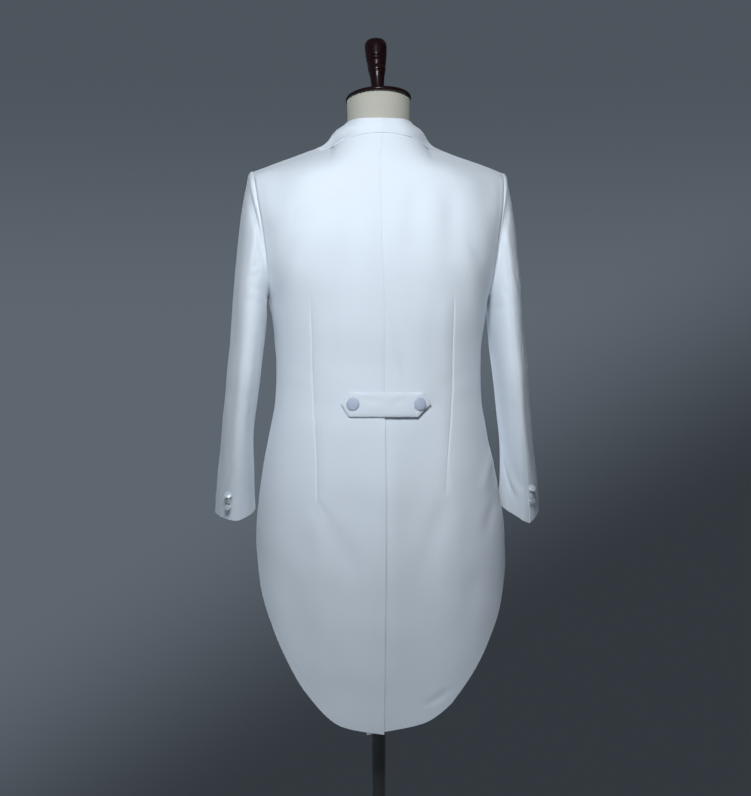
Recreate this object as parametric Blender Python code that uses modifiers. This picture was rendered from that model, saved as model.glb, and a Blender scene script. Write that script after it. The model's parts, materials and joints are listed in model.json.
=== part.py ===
"""A tuxedo tailcoat on a limbless dress form, at its real size.

Metres, +Z up. The form stands with the middle of its base at the origin. The coat's front faces -Y,
its tails hang at +Y, and +X is the wearer's left. Every cloth piece is a wall on its inner face, which
is a smooth surface through level rings below the armholes and sloping rings above them.
"""

import math

import bmesh
import bpy
import numpy as np
from mathutils import Matrix, Vector

# ---- thicknesses and gaps ------------------------------------------------------------------------
SUITING = 0.002  # wall of the suiting with its interlining
COLLAR_WALL = 0.002
BELT_WALL = 0.003  # the half belt is two layers, turned and pressed
SEAM_GAP = 0.0003  # between two pieces that are sewn edge to edge
SHOULDER_GAP = 0.0010  # the same at the shoulder seam, whose two edges lie on a ridge
LAID_GAP = 0.0012  # between a piece and the panel that it lies on

# ---- coat: the main points -----------------------------------------------------------------------
NECK_BACK = Vector((0.0, 0.066, 1.534))  # centre back of the neckline
NECK_POINT = Vector((0.078, 0.004, 1.516))  # shoulder seam at the neck
SHOULDER_TIP = Vector((0.2255, -0.006, 1.460))  # shoulder seam at the armhole
ARMPIT = 1.235  # height of the bottom of the armhole
NECK_SHARE = 0.35  # share of the back's top edge that is neckline
YOKE_EASE = 1.440  # below this height the neckline no longer bends the back

# Sloping rings of the back, down to the armpit. The level is the ring's height at the centre back, turn is
# its heading at the armhole (0 along +X, 90 along -Y), and flat and round are its fullness at both ends.
YOKE_BACK = (
    # level, centre y, armhole x, y, z, turn, flat, round
    (1.534, 0.066, 0.2255, -0.006, 1.460, 4, 0.35, 0.50),
    (1.505, 0.082, 0.2245, 0.019, 1.448, 20, 0.45, 0.45),
    (1.460, 0.102, 0.2200, 0.046, 1.413, 36, 0.55, 0.42),
    (1.400, 0.117, 0.2125, 0.062, 1.363, 50, 0.58, 0.45),
    (1.340, 0.124, 0.2055, 0.062, 1.313, 62, 0.62, 0.52),
    (1.285, 0.125, 0.2000, 0.049, 1.270, 74, 0.68, 0.60),
    (1.250, 0.1235, 0.1978, 0.027, 1.2445, 83, 0.72, 0.66),
)

# Sloping rings of the front. The level is the ring's height at the roll line of the lapel.
YOKE_FRONT = (
    # level, roll line y, armhole x, y, z, turn, round, flat
    (1.516, 0.004, 0.2255, -0.006, 1.460, 176, 0.33, 0.12),
    (1.500, -0.026, 0.2235, -0.028, 1.446, 165, 0.38, 0.38),
    (1.460, -0.056, 0.2150, -0.048, 1.420, 150, 0.42, 0.42),
    (1.400, -0.086, 0.2020, -0.063, 1.378, 138, 0.42, 0.45),
    (1.340, -0.108, 0.1930, -0.070, 1.328, 124, 0.48, 0.54),
    (1.285, -0.121, 0.1920, -0.055, 1.276, 110, 0.58, 0.62),
    (1.250, -0.125, 0.1950, -0.030, 1.246, 98, 0.66, 0.70),
)

# Level rings of the body and the tails.
TORSO = (
    # height, back y, side x, side y, front y, fullness
    (1.235, 0.1230, 0.1970, 0.004, -0.126, 0.73),
    (1.200, 0.1200, 0.1912, 0.003, -0.127, 0.70),
    (1.150, 0.1155, 0.1852, 0.002, -0.126, 0.66),
    (1.105, 0.1125, 0.1838, 0.002, -0.124, 0.63),
    (1.050, 0.1150, 0.1862, 0.002, -0.123, 0.61),
    (1.000, 0.1210, 0.1948, 0.001, -0.123, 0.60),
    (0.940, 0.1280, 0.2070, 0.000, -0.124, 0.60),
    (0.880, 0.1330, 0.2170, 0.000, -0.125, 0.60),
    (0.800, 0.1340, 0.2240, 0.000, -0.125, 0.60),
    (0.720, 0.1290, 0.2240, 0.000, -0.124, 0.60),
    (0.620, 0.1190, 0.2175, 0.000, -0.122, 0.60),
    (0.540, 0.1100, 0.2110, 0.000, -0.120, 0.60),
    (0.460, 0.1030, 0.2040, 0.000, -0.118, 0.60),
)
SIDE_ROUND = 0.05  # a ring is this much less full at the side seam than at its middle
TAIL_DRIFT = -0.005  # the tails hang this far to the wearer's right
DRIFT_TOP = 1.000
DRIFT_BOTTOM = 0.750

# The hem all round one half: tails at the back, a steep edge at the side, a short front at the waist.
HEM = (
    # degrees round from the centre back, height on the left, height on the right
    (0, 0.4700, 0.4700),
    (20, 0.4840, 0.4870),
    (40, 0.5410, 0.5530),
    (55, 0.6110, 0.6170),
    (67, 0.6760, 0.6760),
    (78, 0.7340, 0.7340),
    (90, 0.7950, 0.7950),
    (100, 0.8600, 0.8600),
    (110, 0.9350, 0.9350),
    (118, 0.9870, 0.9870),
    (128, 1.0130, 1.0130),
    (145, 1.0180, 1.0180),
    (165, 1.0080, 1.0080),
    (180, 0.9980, 0.9980),
)

# ---- fronts --------------------------------------------------------------------------------------
BREAK_Z = 1.075  # the roll line starts here, just above the button
FRONT_LAP = 0.014  # each front passes the centre by this much
ROLL_LEAN = (NECK_POINT.x + FRONT_LAP) / (NECK_POINT.z - BREAK_Z)
FRONT_SET_IN = 0.0068  # the right front lies this far inside the left one; its lapel passes between them
SET_IN_TOP = 1.270  # from here
SET_IN_FULL = 1.160  # to here
FRONT_BUTTON_Z = 1.060

# ---- centre vent ---------------------------------------------------------------------------------
# Rows of the back below the armhole, by their height at the centre back.
TAIL_LEVELS = (
    *(1.185, 1.135, 1.085, 1.066, 1.040),
    *(0.990, 0.930, 0.870, 0.810, 0.750, 0.690, 0.630, 0.575, 0.520, 0.470),
)
VENT_SET_IN = 0.0042  # the right tail lies this far inside the left one, from under the half belt down
VENT_LAP = 0.030  # and passes this far beyond the centre
SET_IN_START = 1.085  # it is set in from here to the next height, and widens from there to the vent's top
LAP_START = 1.066
VENT_TOP = 1.040

# ---- lapels and collar ---------------------------------------------------------------------------
LAPEL_FOOT_LEFT = 1.079  # heights of the lapels' lower ends
LAPEL_FOOT_RIGHT = 1.106  # hidden under the left front
# The lapel's width across its roll line, from its foot to its top.
LAPEL_WIDTH = (
    # share of the way up, width
    (0.00, 0.004),
    (0.18, 0.026),
    (0.50, 0.057),
    (0.80, 0.079),
    (1.00, 0.092),
)
# Its top edge: the gorge seam with the collar, then up to the peak.
LAPEL_TOP = (
    # share of the width, height
    (0.00, 1.4460),
    (0.36, 1.4455),
    (0.55, 1.4520),
    (1.00, 1.4660),
)
ROLL_OUT = 0.0028  # the fold of the lapel stands this far past the front's edge

# Half of the collar, from the centre back to its front end at the gorge.
COLLAR = (
    # share, foot x, y, z, fold x, y, z, edge x, y, z
    (0.00, 0.0000, 0.0630, 1.5345, 0.0000, 0.0610, 1.5505, 0.0000, 0.0748, 1.5272),
    (0.20, 0.0330, 0.0560, 1.5320, 0.0310, 0.0535, 1.5505, 0.0436, 0.0678, 1.5232),
    (0.40, 0.0590, 0.0340, 1.5240, 0.0530, 0.0330, 1.5490, 0.0780, 0.0392, 1.5170),
    (0.60, 0.0730, 0.0040, 1.5150, 0.0632, 0.0020, 1.5430, 0.1022, 0.0052, 1.5106),
    (0.80, 0.0700, -0.0300, 1.4900, 0.0672, -0.0310, 1.5060, 0.1066, -0.0332, 1.4896),
    (1.00, 0.0610, -0.0595, 1.4460, 0.0631, -0.0658, 1.4500, 0.1010, -0.0622, 1.4500),
)
COLLAR_FOLD = 0.0032  # inner radius of the fold
COLLAR_BELLY = 0.0015  # the fall bulges this much between its fold and its edge

# ---- sleeves -------------------------------------------------------------------------------------
SLEEVE_TOP = 1.200  # the first level ring under the sleeve head
CUFF = 0.850
SLEEVE = (
    # height, centre x, centre y, half width, half depth, tilt in degrees
    (1.200, 0.2322, -0.012, 0.0310, 0.081, 0),
    (1.160, 0.2350, -0.011, 0.0308, 0.080, 0),
    (1.110, 0.2405, -0.011, 0.0305, 0.078, 2),
    (1.060, 0.2460, -0.016, 0.0295, 0.075, 5),
    (0.970, 0.2552, -0.034, 0.0278, 0.068, 11),
    (0.900, 0.2598, -0.052, 0.0290, 0.061, 16),
    (0.850, 0.2612, -0.066, 0.0312, 0.056, 20),
)
CAP_REACH = 0.051  # how boldly the sleeve head leaves the armhole
CAP_DROP = 1.20  # and how boldly it arrives in the sleeve
CAP_SPREAD = 0.35  # the head also leaves towards the back and the front
CAP_SINK = -0.12  # and a little downwards
ARMHOLE_INSET = 0.0032  # the sleeve starts this far inside the armhole's edge where they meet in a valley
HIND_SEAM = 5  # columns of the armhole from the shoulder to each seam of the sleeve
FORE_SEAM = 6
ARMHOLE_COLUMNS = 10  # between the shoulder and the armpit, at the back and again at the front
VENT_BUTTON_X = 0.0105  # from the hind seam to the cuff buttons
CUFF_BUTTONS = (0.9035, 0.8910, 0.8785)

# ---- half belt and buttons -----------------------------------------------------------------------
BELT_MIDDLE_X = -0.0024
BELT_LENGTH = 0.157
BELT_HEIGHT = 0.045
BELT_Z = 1.0465
BELT_POINT = 0.0135  # length of each pointed end
BELT_STANDOFF = 0.0042  # its inner face stands off the back's inner face
BELT_BUTTON_INSET = 0.0210
BELT_BUTTON = 0.0225  # diameters
CUFF_BUTTON = 0.0120
FRONT_BUTTON = 0.0200
BUTTON_DOME = 0.30  # height of a button as a share of its radius
BUTTON_PROFILE = (
    # share of the radius, share of the height
    (0.00, 1.00),
    (0.50, 0.93),
    (0.86, 0.66),
    (1.00, 0.22),
    (0.94, 0.00),
    (0.00, 0.00),
)

# ---- dress form ----------------------------------------------------------------------------------
FORM = (
    # height, half width, back y, front y, power of the section (2 is an ellipse)
    (0.800, 0.138, 0.084, -0.074, 2.2),
    (0.806, 0.147, 0.092, -0.082, 2.2),
    (0.830, 0.156, 0.102, -0.089, 2.2),
    (0.900, 0.163, 0.108, -0.092, 2.2),
    (0.970, 0.160, 0.103, -0.094, 2.2),
    (1.040, 0.150, 0.093, -0.094, 2.2),
    (1.110, 0.145, 0.088, -0.095, 2.2),
    (1.200, 0.156, 0.096, -0.104, 2.3),
    (1.290, 0.169, 0.106, -0.106, 2.3),
    (1.360, 0.174, 0.104, -0.091, 2.3),
    (1.420, 0.168, 0.092, -0.068, 2.1),
    (1.455, 0.146, 0.080, -0.054, 1.8),
    (1.480, 0.108, 0.068, -0.045, 1.7),
    (1.500, 0.073, 0.059, -0.042, 1.8),
    (1.518, 0.060, 0.0545, -0.0430, 1.9),
    (1.545, 0.0555, 0.0530, -0.0480, 2.0),
    (1.5895, 0.0570, 0.0545, -0.0550, 2.0),
)
NECK_BASE = 1.500  # below this height the rings are level
NECK_SLOPE = 12.7  # degrees that the neck's top slopes down to the front
HEAD_LEAN = 1.6  # degrees that cap and knob lean to the wearer's left
CAP_FOOT = 1.5915
CAP_RADIUS = 0.0592
CAP_HEIGHT = 0.0075
KNOB = (
    # radius, height above the cap
    (0.0000, 0.1075),
    (0.0100, 0.1064),
    (0.0165, 0.1026),
    (0.0196, 0.0960),
    (0.0200, 0.0900),
    (0.0192, 0.0800),
    (0.0186, 0.0745),
    (0.0172, 0.0735),
    (0.0184, 0.0722),
    (0.0170, 0.0625),
    (0.0146, 0.0480),
    (0.0126, 0.0320),
    (0.0116, 0.0180),
    (0.0118, 0.0100),
    (0.0150, 0.0055),
    (0.0165, 0.0020),
    (0.0160, 0.0000),
    (0.0000, 0.0000),
)
POLE_RADIUS = 0.0125
BASE = (
    # radius, height
    (0.0000, 0.0220),
    (0.0400, 0.0220),
    (0.1500, 0.0136),
    (0.1740, 0.0110),
    (0.1782, 0.0088),
    (0.1800, 0.0048),
    (0.1800, 0.0020),
    (0.1780, 0.0000),
    (0.0000, 0.0000),
)

FORM_STEPS = 32  # facets round each turned or ringed piece
CAP_STEPS = 40
BASE_STEPS = 48
KNOB_STEPS = 24
BUTTON_STEPS = 12
NORMAL_STEP = 0.004  # distance between the points that a surface's normal is worked out from


def table_curve(table):
    """A function that gives a table's other columns at any value of its first, with no overshoot."""
    rows = np.array(sorted(table), float)
    knots = rows[:, 0]
    values = rows[:, 1:]
    steps = np.diff(knots)
    slopes = np.diff(values, axis=0) / steps[:, None]
    tangents = np.zeros_like(values)
    tangents[0] = slopes[0]
    tangents[-1] = slopes[-1]
    for i in range(1, len(knots) - 1):
        same = slopes[i - 1] * slopes[i] > 0
        before = 2 * steps[i] + steps[i - 1]
        after = steps[i] + 2 * steps[i - 1]
        weighed = before / slopes[i - 1][same] + after / slopes[i][same]
        tangents[i][same] = (before + after) / weighed

    def at(place):
        place = min(max(place, knots[0]), knots[-1])
        i = min(max(int(np.searchsorted(knots, place)) - 1, 0), len(steps) - 1)
        t = (place - knots[i]) / steps[i]
        return hermite(values[i], tangents[i] * steps[i], values[i + 1], tangents[i + 1] * steps[i], t)

    return at


def hermite(start, leave, end, arrive, t):
    return (
        start * (2 * t**3 - 3 * t**2 + 1)
        + leave * (t**3 - 2 * t**2 + t)
        + end * (3 * t**2 - 2 * t**3)
        + arrive * (t**3 - t**2)
    )


def bezier(start, first, second, end, t):
    s = 1 - t
    return start * s**3 + first * (3 * s**2 * t) + second * (3 * s * t**2) + end * t**3


def ease(value, start, stop):
    """0 at start, 1 at stop, smooth between and level beyond."""
    t = min(max((value - start) / (stop - start), 0.0), 1.0)
    return t * t * (3 - 2 * t)


def level_ring(row, centre):
    """A level ring of the body as a row of the back's or the front's table."""
    height, back_y, side_x, side_y, front_y, full = row
    if centre == "back":
        return (height, back_y, side_x, side_y, height, 90, full, full - SIDE_ROUND)
    return (height, front_y, side_x, side_y, height, 90, full - SIDE_ROUND, full)


back_ring = table_curve(YOKE_BACK + tuple(level_ring(row, "back") for row in TORSO))
front_ring = table_curve(YOKE_FRONT + tuple(level_ring(row, "front") for row in TORSO))
hem_height = table_curve(HEM)
sleeve_ring = table_curve(SLEEVE)
lapel_width = table_curve(LAPEL_WIDTH)
lapel_top = table_curve(LAPEL_TOP)
collar_guides = table_curve(COLLAR)


def hem_at(side, degrees):
    left, right = hem_height(degrees)
    return left if side > 0 else right


# ---- surfaces of the left half -------------------------------------------------------------------


def back_plain(share, level):
    """The back from the centre (0) to the armhole or the side seam (1), before the neckline bends it."""
    centre_y, edge_x, edge_y, edge_z, turn, flat, rounding = back_ring(level)
    turn = math.radians(turn)
    reach = rounding * (abs(math.cos(turn)) * edge_x + abs(math.sin(turn)) * (centre_y - edge_y))
    start = Vector((0, centre_y, level))
    end = Vector((edge_x, edge_y, edge_z))
    first = start + Vector((flat * edge_x, 0, 0))
    second = end - Vector((math.cos(turn), -math.sin(turn), 0)) * reach
    second.z = edge_z + 0.45 * (level - edge_z)
    return bezier(start, first, second, end, share)


def back_top_edge(share):
    """The neckline from the centre back, and then the shoulder seam."""
    if share > NECK_SHARE:
        return NECK_POINT.lerp(SHOULDER_TIP, (share - NECK_SHARE) / (1 - NECK_SHARE))
    turn = math.pi / 2 * share / NECK_SHARE
    return Vector(
        (
            NECK_POINT.x * math.sin(turn),
            NECK_POINT.y + (NECK_BACK.y - NECK_POINT.y) * math.cos(turn),
            NECK_POINT.z + (NECK_BACK.z - NECK_POINT.z) * math.cos(turn),
        )
    )


def back_surface(share, level):
    bend = ease(level, YOKE_EASE, NECK_BACK.z) ** 2
    point = back_plain(share, level)
    if bend > 0:
        point += (back_top_edge(share) - back_plain(share, NECK_BACK.z)) * bend
    return point


def roll_line_x(level):
    """The front edge: upright below the break, and leaning out to the neck above it."""
    return max(0.0, level - BREAK_Z) * ROLL_LEAN - FRONT_LAP


def front_surface(share, level):
    """The front from the armhole or the side seam (0) to the roll line or the front edge (1)."""
    front_y, edge_x, edge_y, edge_z, turn, rounding, flat = front_ring(level)
    turn = math.radians(turn)
    start = Vector((edge_x, edge_y, edge_z))
    end = Vector((roll_line_x(level), front_y, level))
    across = edge_x - end.x
    reach = rounding * (abs(math.cos(turn)) * across + abs(math.sin(turn)) * (edge_y - front_y))
    first = start + Vector((math.cos(turn), -math.sin(turn), 0)) * reach
    first.z = edge_z + (level - edge_z) / 3
    second = end + Vector((flat * across, 0, 0))
    second.z = edge_z + (level - edge_z) * 2 / 3
    return bezier(start, first, second, end, share)


def front_level(share, height):
    """The level whose ring passes through a height at a share of the front."""
    low, high = height - 0.001, min(height + 0.09, NECK_POINT.z)
    for _ in range(24):
        middle = (low + high) / 2
        if front_surface(share, middle).z < height:
            low = middle
        else:
            high = middle
    return low


def normal_of(surface, share, level, outside):
    """The unit normal of a surface, on the side of a point that lies outside."""
    low, high = max(share - NORMAL_STEP, 0.0), min(share + NORMAL_STEP, 1.0)
    across = surface(high, level) - surface(low, level)
    down = surface(share, level - NORMAL_STEP) - surface(share, level + NORMAL_STEP)
    normal = across.cross(down).normalized()
    if normal.dot(outside - surface(share, level)) < 0:
        return -normal
    return normal


def even_levels(edge, top, bottom, count):
    """Levels from top to bottom whose points on an edge are equally far apart."""
    levels = np.linspace(top, bottom, 200)
    points = np.array([edge(level) for level in levels])
    travel = np.concatenate([[0], np.cumsum(np.linalg.norm(np.diff(points, axis=0), axis=1))])
    return list(np.interp(np.linspace(0, travel[-1], count + 1), travel, levels))


BACK_YOKE_LEVELS = even_levels(lambda z: back_surface(1, z), NECK_BACK.z, ARMPIT, ARMHOLE_COLUMNS)
FRONT_YOKE_LEVELS = even_levels(lambda z: front_surface(0, z), NECK_POINT.z, ARMPIT, ARMHOLE_COLUMNS)


# ---- meshes --------------------------------------------------------------------------------------


def finish(shape, name, material, collection):
    mesh = bpy.data.meshes.new(name)
    shape.to_mesh(mesh)
    shape.free()
    mesh.materials.append(material)
    mesh.shade_smooth()
    part = bpy.data.objects.new(name, mesh)
    collection.objects.link(part)
    return part


def cloth(name, columns, rows, point, wall, material, collection, hollow):
    """A wall of cloth: point(column, row) is its inner face, and hollow(point) a place on that side."""
    shape = bmesh.new()
    bmesh.ops.create_grid(shape, x_segments=columns, y_segments=rows, size=0.5)
    for vertex in shape.verts:
        column = round((vertex.co.x + 0.5) * columns)
        row = round((vertex.co.y + 0.5) * rows)
        vertex.co = point(column, row)
    shape.normal_update()
    facing = 0.0
    for face in shape.faces:
        centre = face.calc_center_median()
        facing += face.normal.dot(centre - hollow(centre)) * face.calc_area()
    if facing < 0:
        bmesh.ops.reverse_faces(shape, faces=shape.faces)
    part = finish(shape, name, material, collection)
    solid = part.modifiers.new("Wall", "SOLIDIFY")
    solid.thickness = wall
    solid.offset = 1
    return part


def turned(name, profile, steps, material, collection):
    """A turned solid: the profile's points are radius and height, down its outer side."""
    shape = bmesh.new()
    points = [shape.verts.new((radius, 0, height)) for radius, height in profile]
    for start, end in zip(points, points[1:]):
        shape.edges.new((start, end))
    part = finish(shape, name, material, collection)
    screw = part.modifiers.new("Turn", "SCREW")
    screw.steps = steps
    screw.render_steps = steps
    screw.use_merge_vertices = True
    screw.merge_threshold = 0.00001
    return part


def body_axis(point):
    return Vector((0, 0, point.z))


# ---- coat body -----------------------------------------------------------------------------------


def build_back(side, material, collection):
    """A half back with its tail. The right one passes under the left one below the vent's top."""
    name = "back_left" if side > 0 else "back_right"
    columns = 10
    rows = ARMHOLE_COLUMNS + len(TAIL_LEVELS)

    def point(column, row):
        share = column / columns
        if row <= ARMHOLE_COLUMNS:
            level = BACK_YOKE_LEVELS[row]
        else:
            drop = (ARMPIT - TAIL_LEVELS[row - ARMHOLE_COLUMNS - 1]) / (ARMPIT - TAIL_LEVELS[-1])
            level = ARMPIT + (hem_at(side, 90 * share) - ARMPIT) * drop
        place = back_surface(share, level)
        place.y += SHOULDER_GAP if row == 0 else SEAM_GAP
        if side < 0:
            near = 1 - ease(share, 0.10, 0.55)
            place.x -= ease(place.z, LAP_START, VENT_TOP) * VENT_LAP * max(0.0, 1 - share / 0.35)
            place.y -= ease(place.z, SET_IN_START, LAP_START) * near * VENT_SET_IN
        place.x += SEAM_GAP / 2 * (1 - share)
        drift = TAIL_DRIFT * ease(place.z, DRIFT_TOP, DRIFT_BOTTOM)
        return Vector((side * place.x + drift, place.y, place.z))

    return cloth(name, columns, rows, point, SUITING, material, collection, body_axis)


def build_front(side, material, collection):
    """A front, from the side seam to the roll line and the front edge. The right one lies underneath."""
    name = "front_left" if side > 0 else "front_right"
    columns = 9
    body_rows = 8
    rows = ARMHOLE_COLUMNS + body_rows

    def point(column, row):
        share = column / columns
        if row <= ARMHOLE_COLUMNS:
            level = FRONT_YOKE_LEVELS[row]
        else:
            drop = (row - ARMHOLE_COLUMNS) / body_rows
            level = ARMPIT + (hem_at(side, 90 + 90 * share) - ARMPIT) * drop
        place = front_surface(share, level)
        place.y -= SEAM_GAP / 2
        if side < 0:
            place.y += FRONT_SET_IN * ease(share, 0.35, 0.75) * ease(level, SET_IN_TOP, SET_IN_FULL)
        drift = TAIL_DRIFT * ease(place.z, DRIFT_TOP, DRIFT_BOTTOM)
        return Vector((side * place.x + drift, place.y, place.z))

    return cloth(name, columns, rows, point, SUITING, material, collection, body_axis)


def build_lapel(side, material, collection):
    """A peaked lapel, turned back over the front along the roll line."""
    name = "lapel_left" if side > 0 else "lapel_right"
    foot = LAPEL_FOOT_LEFT if side > 0 else LAPEL_FOOT_RIGHT
    columns = 6
    rows = 13

    def point(column, row):
        up = 1 - row / rows
        share_out = max(0.0, (column - 1) / (columns - 1))
        height = foot + (lapel_top(share_out)[0] - foot) * up
        edge = front_surface(1, height)
        if column == 0:
            normal = normal_of(front_surface, 1, height, Vector((edge.x, edge.y - 1, edge.z)))
            roll = ROLL_OUT * ease(up, -0.05, 0.15)
            place = edge + Vector((-roll, 0, 0)) + normal * (SUITING / 2)
        else:
            width = lapel_width(up)[0] * share_out
            full = (front_surface(0.5, height) - edge).length * 2
            share = 1 - width / full
            level = front_level(share, height)
            inner = front_surface(share, level)
            normal = normal_of(front_surface, share, level, Vector((inner.x, inner.y - 1, inner.z)))
            place = inner + normal * (SUITING + LAID_GAP)
        place.y -= SEAM_GAP / 2
        if side < 0:
            place.y += FRONT_SET_IN * ease(height, SET_IN_TOP, SET_IN_FULL)
        return Vector((side * place.x, place.y, place.z))

    return cloth(name, columns, rows, point, SUITING, material, collection, body_axis)


def build_collar(material, collection):
    """The folded collar: its stand round the neck, its fold, and its fall over the back and shoulders."""
    columns = 24
    fold_steps = 4
    fall_steps = 4
    rows = 2 + fold_steps + fall_steps

    def guides(along):
        foot_fold_edge = collar_guides(abs(along))
        side = -1 if along < 0 else 1
        places = []
        for i in (0, 3, 6):
            x, y, z = foot_fold_edge[i : i + 3]
            places.append(Vector((side * x, y, z)))
        return places

    def point(column, row):
        along = 2 * column / columns - 1
        foot, fold, edge = guides(along)
        before = guides(max(along - 0.02, -1))[1]
        after = guides(min(along + 0.02, 1))[1]
        run = (after - before).normalized()
        outward = run.cross(Vector((0, 0, 1)))
        outward = (outward - run * outward.dot(run)).normalized()
        if outward.dot(edge - foot) < 0:
            outward = -outward
        up = outward.cross(run).normalized()
        if up.z < 0:
            up = -up
        if row == 0:
            return foot
        if row <= fold_steps + 1:
            turn = math.pi * (row - 1) / fold_steps
            return fold + (up * math.sin(turn) - outward * math.cos(turn)) * COLLAR_FOLD
        share = (row - fold_steps - 1) / (rows - fold_steps - 1)
        start = fold + outward * COLLAR_FOLD
        belly = math.sin(math.pi * share) * COLLAR_BELLY
        return start.lerp(edge, share) + (outward * 0.6 + up * 0.8) * belly

    def channel(centre):
        """The space between the stand and the fall, which the collar's wall faces away from."""
        side = 1 if centre.x >= 0 else -1
        best = min(
            (guides(side * step / 20) for step in range(21)),
            key=lambda places: (places[1] - centre).length,
        )
        return (best[0] + best[1] + best[2]) / 3

    return cloth("collar", columns, rows, point, COLLAR_WALL, material, collection, channel)


# ---- sleeves -------------------------------------------------------------------------------------


def armhole_edge(turn):
    """The armhole's edge: turn 0 at the shoulder, a quarter at the back, a half at the armpit."""
    half = turn % 1.0
    if half <= 0.5:
        level = np.interp(half * 2, np.linspace(0, 1, ARMHOLE_COLUMNS + 1), BACK_YOKE_LEVELS)
        return back_surface(1, level)
    level = np.interp(2 - half * 2, np.linspace(0, 1, ARMHOLE_COLUMNS + 1), FRONT_YOKE_LEVELS)
    return front_surface(0, level)


ARMHOLE_MIDDLE = sum((armhole_edge(i / 20) for i in range(20)), Vector()) / 20


def level_sleeve(turn, height):
    """A point of the sleeve below its head, on the ring that passes through a height at its middle."""
    centre_x, centre_y, half_width, half_depth, tilt = sleeve_ring(height)
    angle = 2 * math.pi * turn
    depth = half_depth * math.sin(angle)
    drop = math.tan(math.radians(tilt)) * depth
    return Vector((centre_x + half_width * math.cos(angle), centre_y + depth, height - drop))


def sleeve_surface(turn, fall):
    """The left sleeve: fall goes from 0 at the armhole through 1 below its head to 2 at the cuff."""
    if fall > 1:
        return level_sleeve(turn, SLEEVE_TOP + (CUFF - SLEEVE_TOP) * (fall - 1))
    edge = armhole_edge(turn)
    valley = min(1.0, 2 * (1 - math.cos(2 * math.pi * turn)))
    inwards = (ARMHOLE_MIDDLE - edge).normalized()
    start = edge + inwards * (ARMHOLE_INSET * valley) + Vector((SEAM_GAP, 0, 0))
    end = level_sleeve(turn, SLEEVE_TOP)
    down = (level_sleeve(turn, SLEEVE_TOP - 0.01) - end).normalized()
    sideways = math.sin(2 * math.pi * turn)
    leave = Vector((1, CAP_SPREAD * sideways, CAP_SINK)).normalized() * CAP_REACH
    arrive = down * ((end - start).length * CAP_DROP)
    return hermite(start, leave, end, arrive, fall)


def build_sleeve(side, piece, material, collection):
    """The top sleeve or the under sleeve, between the hind seam and the fore seam."""
    name = f"sleeve_{'left' if side > 0 else 'right'}_{piece}"
    around = 2 * ARMHOLE_COLUMNS
    head_rows = 7
    arm_rows = 9
    rows = head_rows + arm_rows
    first = -FORE_SEAM if piece == "top" else HIND_SEAM
    last = HIND_SEAM if piece == "top" else around - FORE_SEAM
    columns = last - first

    def point(column, row):
        fall = row / head_rows if row <= head_rows else 1 + (row - head_rows) / arm_rows
        place = sleeve_surface((first + column) / around, fall)
        ahead = sleeve_surface((first + column + 0.1) / around, fall)
        gap = SEAM_GAP * 1.5 * (1 - 2 * column / columns)
        place += (ahead - place).normalized() * gap
        return Vector((side * place.x, place.y, place.z))

    def arm_axis(centre):
        if centre.z > SLEEVE_TOP:
            return Vector((side * 0.215, -0.010, min(centre.z, 1.36)))
        middle = sleeve_ring(centre.z)
        return Vector((side * middle[0], middle[1], centre.z))

    return cloth(name, columns, rows, point, SUITING, material, collection, arm_axis)


# ---- half belt and buttons -----------------------------------------------------------------------


def back_face(x, z, distance):
    """A place on the back at an x and a height, moved out from the inner face, and the way out there."""
    low, high = 0.0, 1.0
    for _ in range(30):
        share = (low + high) / 2
        if back_surface(share, z).x < abs(x):
            low = share
        else:
            high = share
    inner = back_surface(low, z)
    outside = Vector((inner.x, inner.y + 1, inner.z))
    normal = normal_of(back_surface, low, z, outside)
    side = 1 if x >= 0 else -1
    normal = Vector((side * normal.x, normal.y, normal.z))
    return Vector((x, inner.y, z)) + normal * distance, normal


def build_belt(material, collection):
    """The half belt, a strap with pointed ends across the back waist."""
    columns = 12
    rows = 3

    def point(column, row):
        along = 2 * column / columns - 1
        x = BELT_MIDDLE_X + along * BELT_LENGTH / 2
        from_end = BELT_LENGTH / 2 * (1 - abs(along))
        height = BELT_HEIGHT * max(0.16, min(1.0, from_end / BELT_POINT))
        z = BELT_Z + (row / rows - 0.5) * height
        return back_face(x, z, BELT_STANDOFF)[0]

    return cloth("back_belt", columns, rows, point, BELT_WALL, material, collection, body_axis)


def build_button(name, diameter, place, facing, material, collection):
    """A covered button with a flat back and a low dome."""
    radius = diameter / 2
    height = radius * BUTTON_DOME
    profile = [(radius * out, height * up) for out, up in BUTTON_PROFILE]
    part = turned(name, profile, BUTTON_STEPS, material, collection)
    part.rotation_mode = "QUATERNION"
    part.rotation_quaternion = facing.to_track_quat("Z", "Y")
    part.location = place
    return part


def build_buttons(material, collection):
    for name, side in (("left", 1), ("right", -1)):
        x = BELT_MIDDLE_X + side * (BELT_LENGTH / 2 - BELT_BUTTON_INSET)
        place, facing = back_face(x, BELT_Z, BELT_STANDOFF + BELT_WALL + SEAM_GAP * 2)
        build_button(f"belt_button_{name}", BELT_BUTTON, place, facing, material, collection)
        for number, height in enumerate(CUFF_BUTTONS, 1):
            place, facing = cuff_place(height, SUITING + SEAM_GAP)
            place.x *= side
            facing.x *= side
            label = f"cuff_button_{name}_{number}"
            build_button(label, CUFF_BUTTON, place, facing, material, collection)
    inner = front_surface(1, FRONT_BUTTON_Z)
    place = Vector((0, inner.y - SEAM_GAP / 2 - SUITING - SEAM_GAP * 2, FRONT_BUTTON_Z))
    build_button("front_button", FRONT_BUTTON, place, Vector((0, -1, 0)), material, collection)


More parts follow.
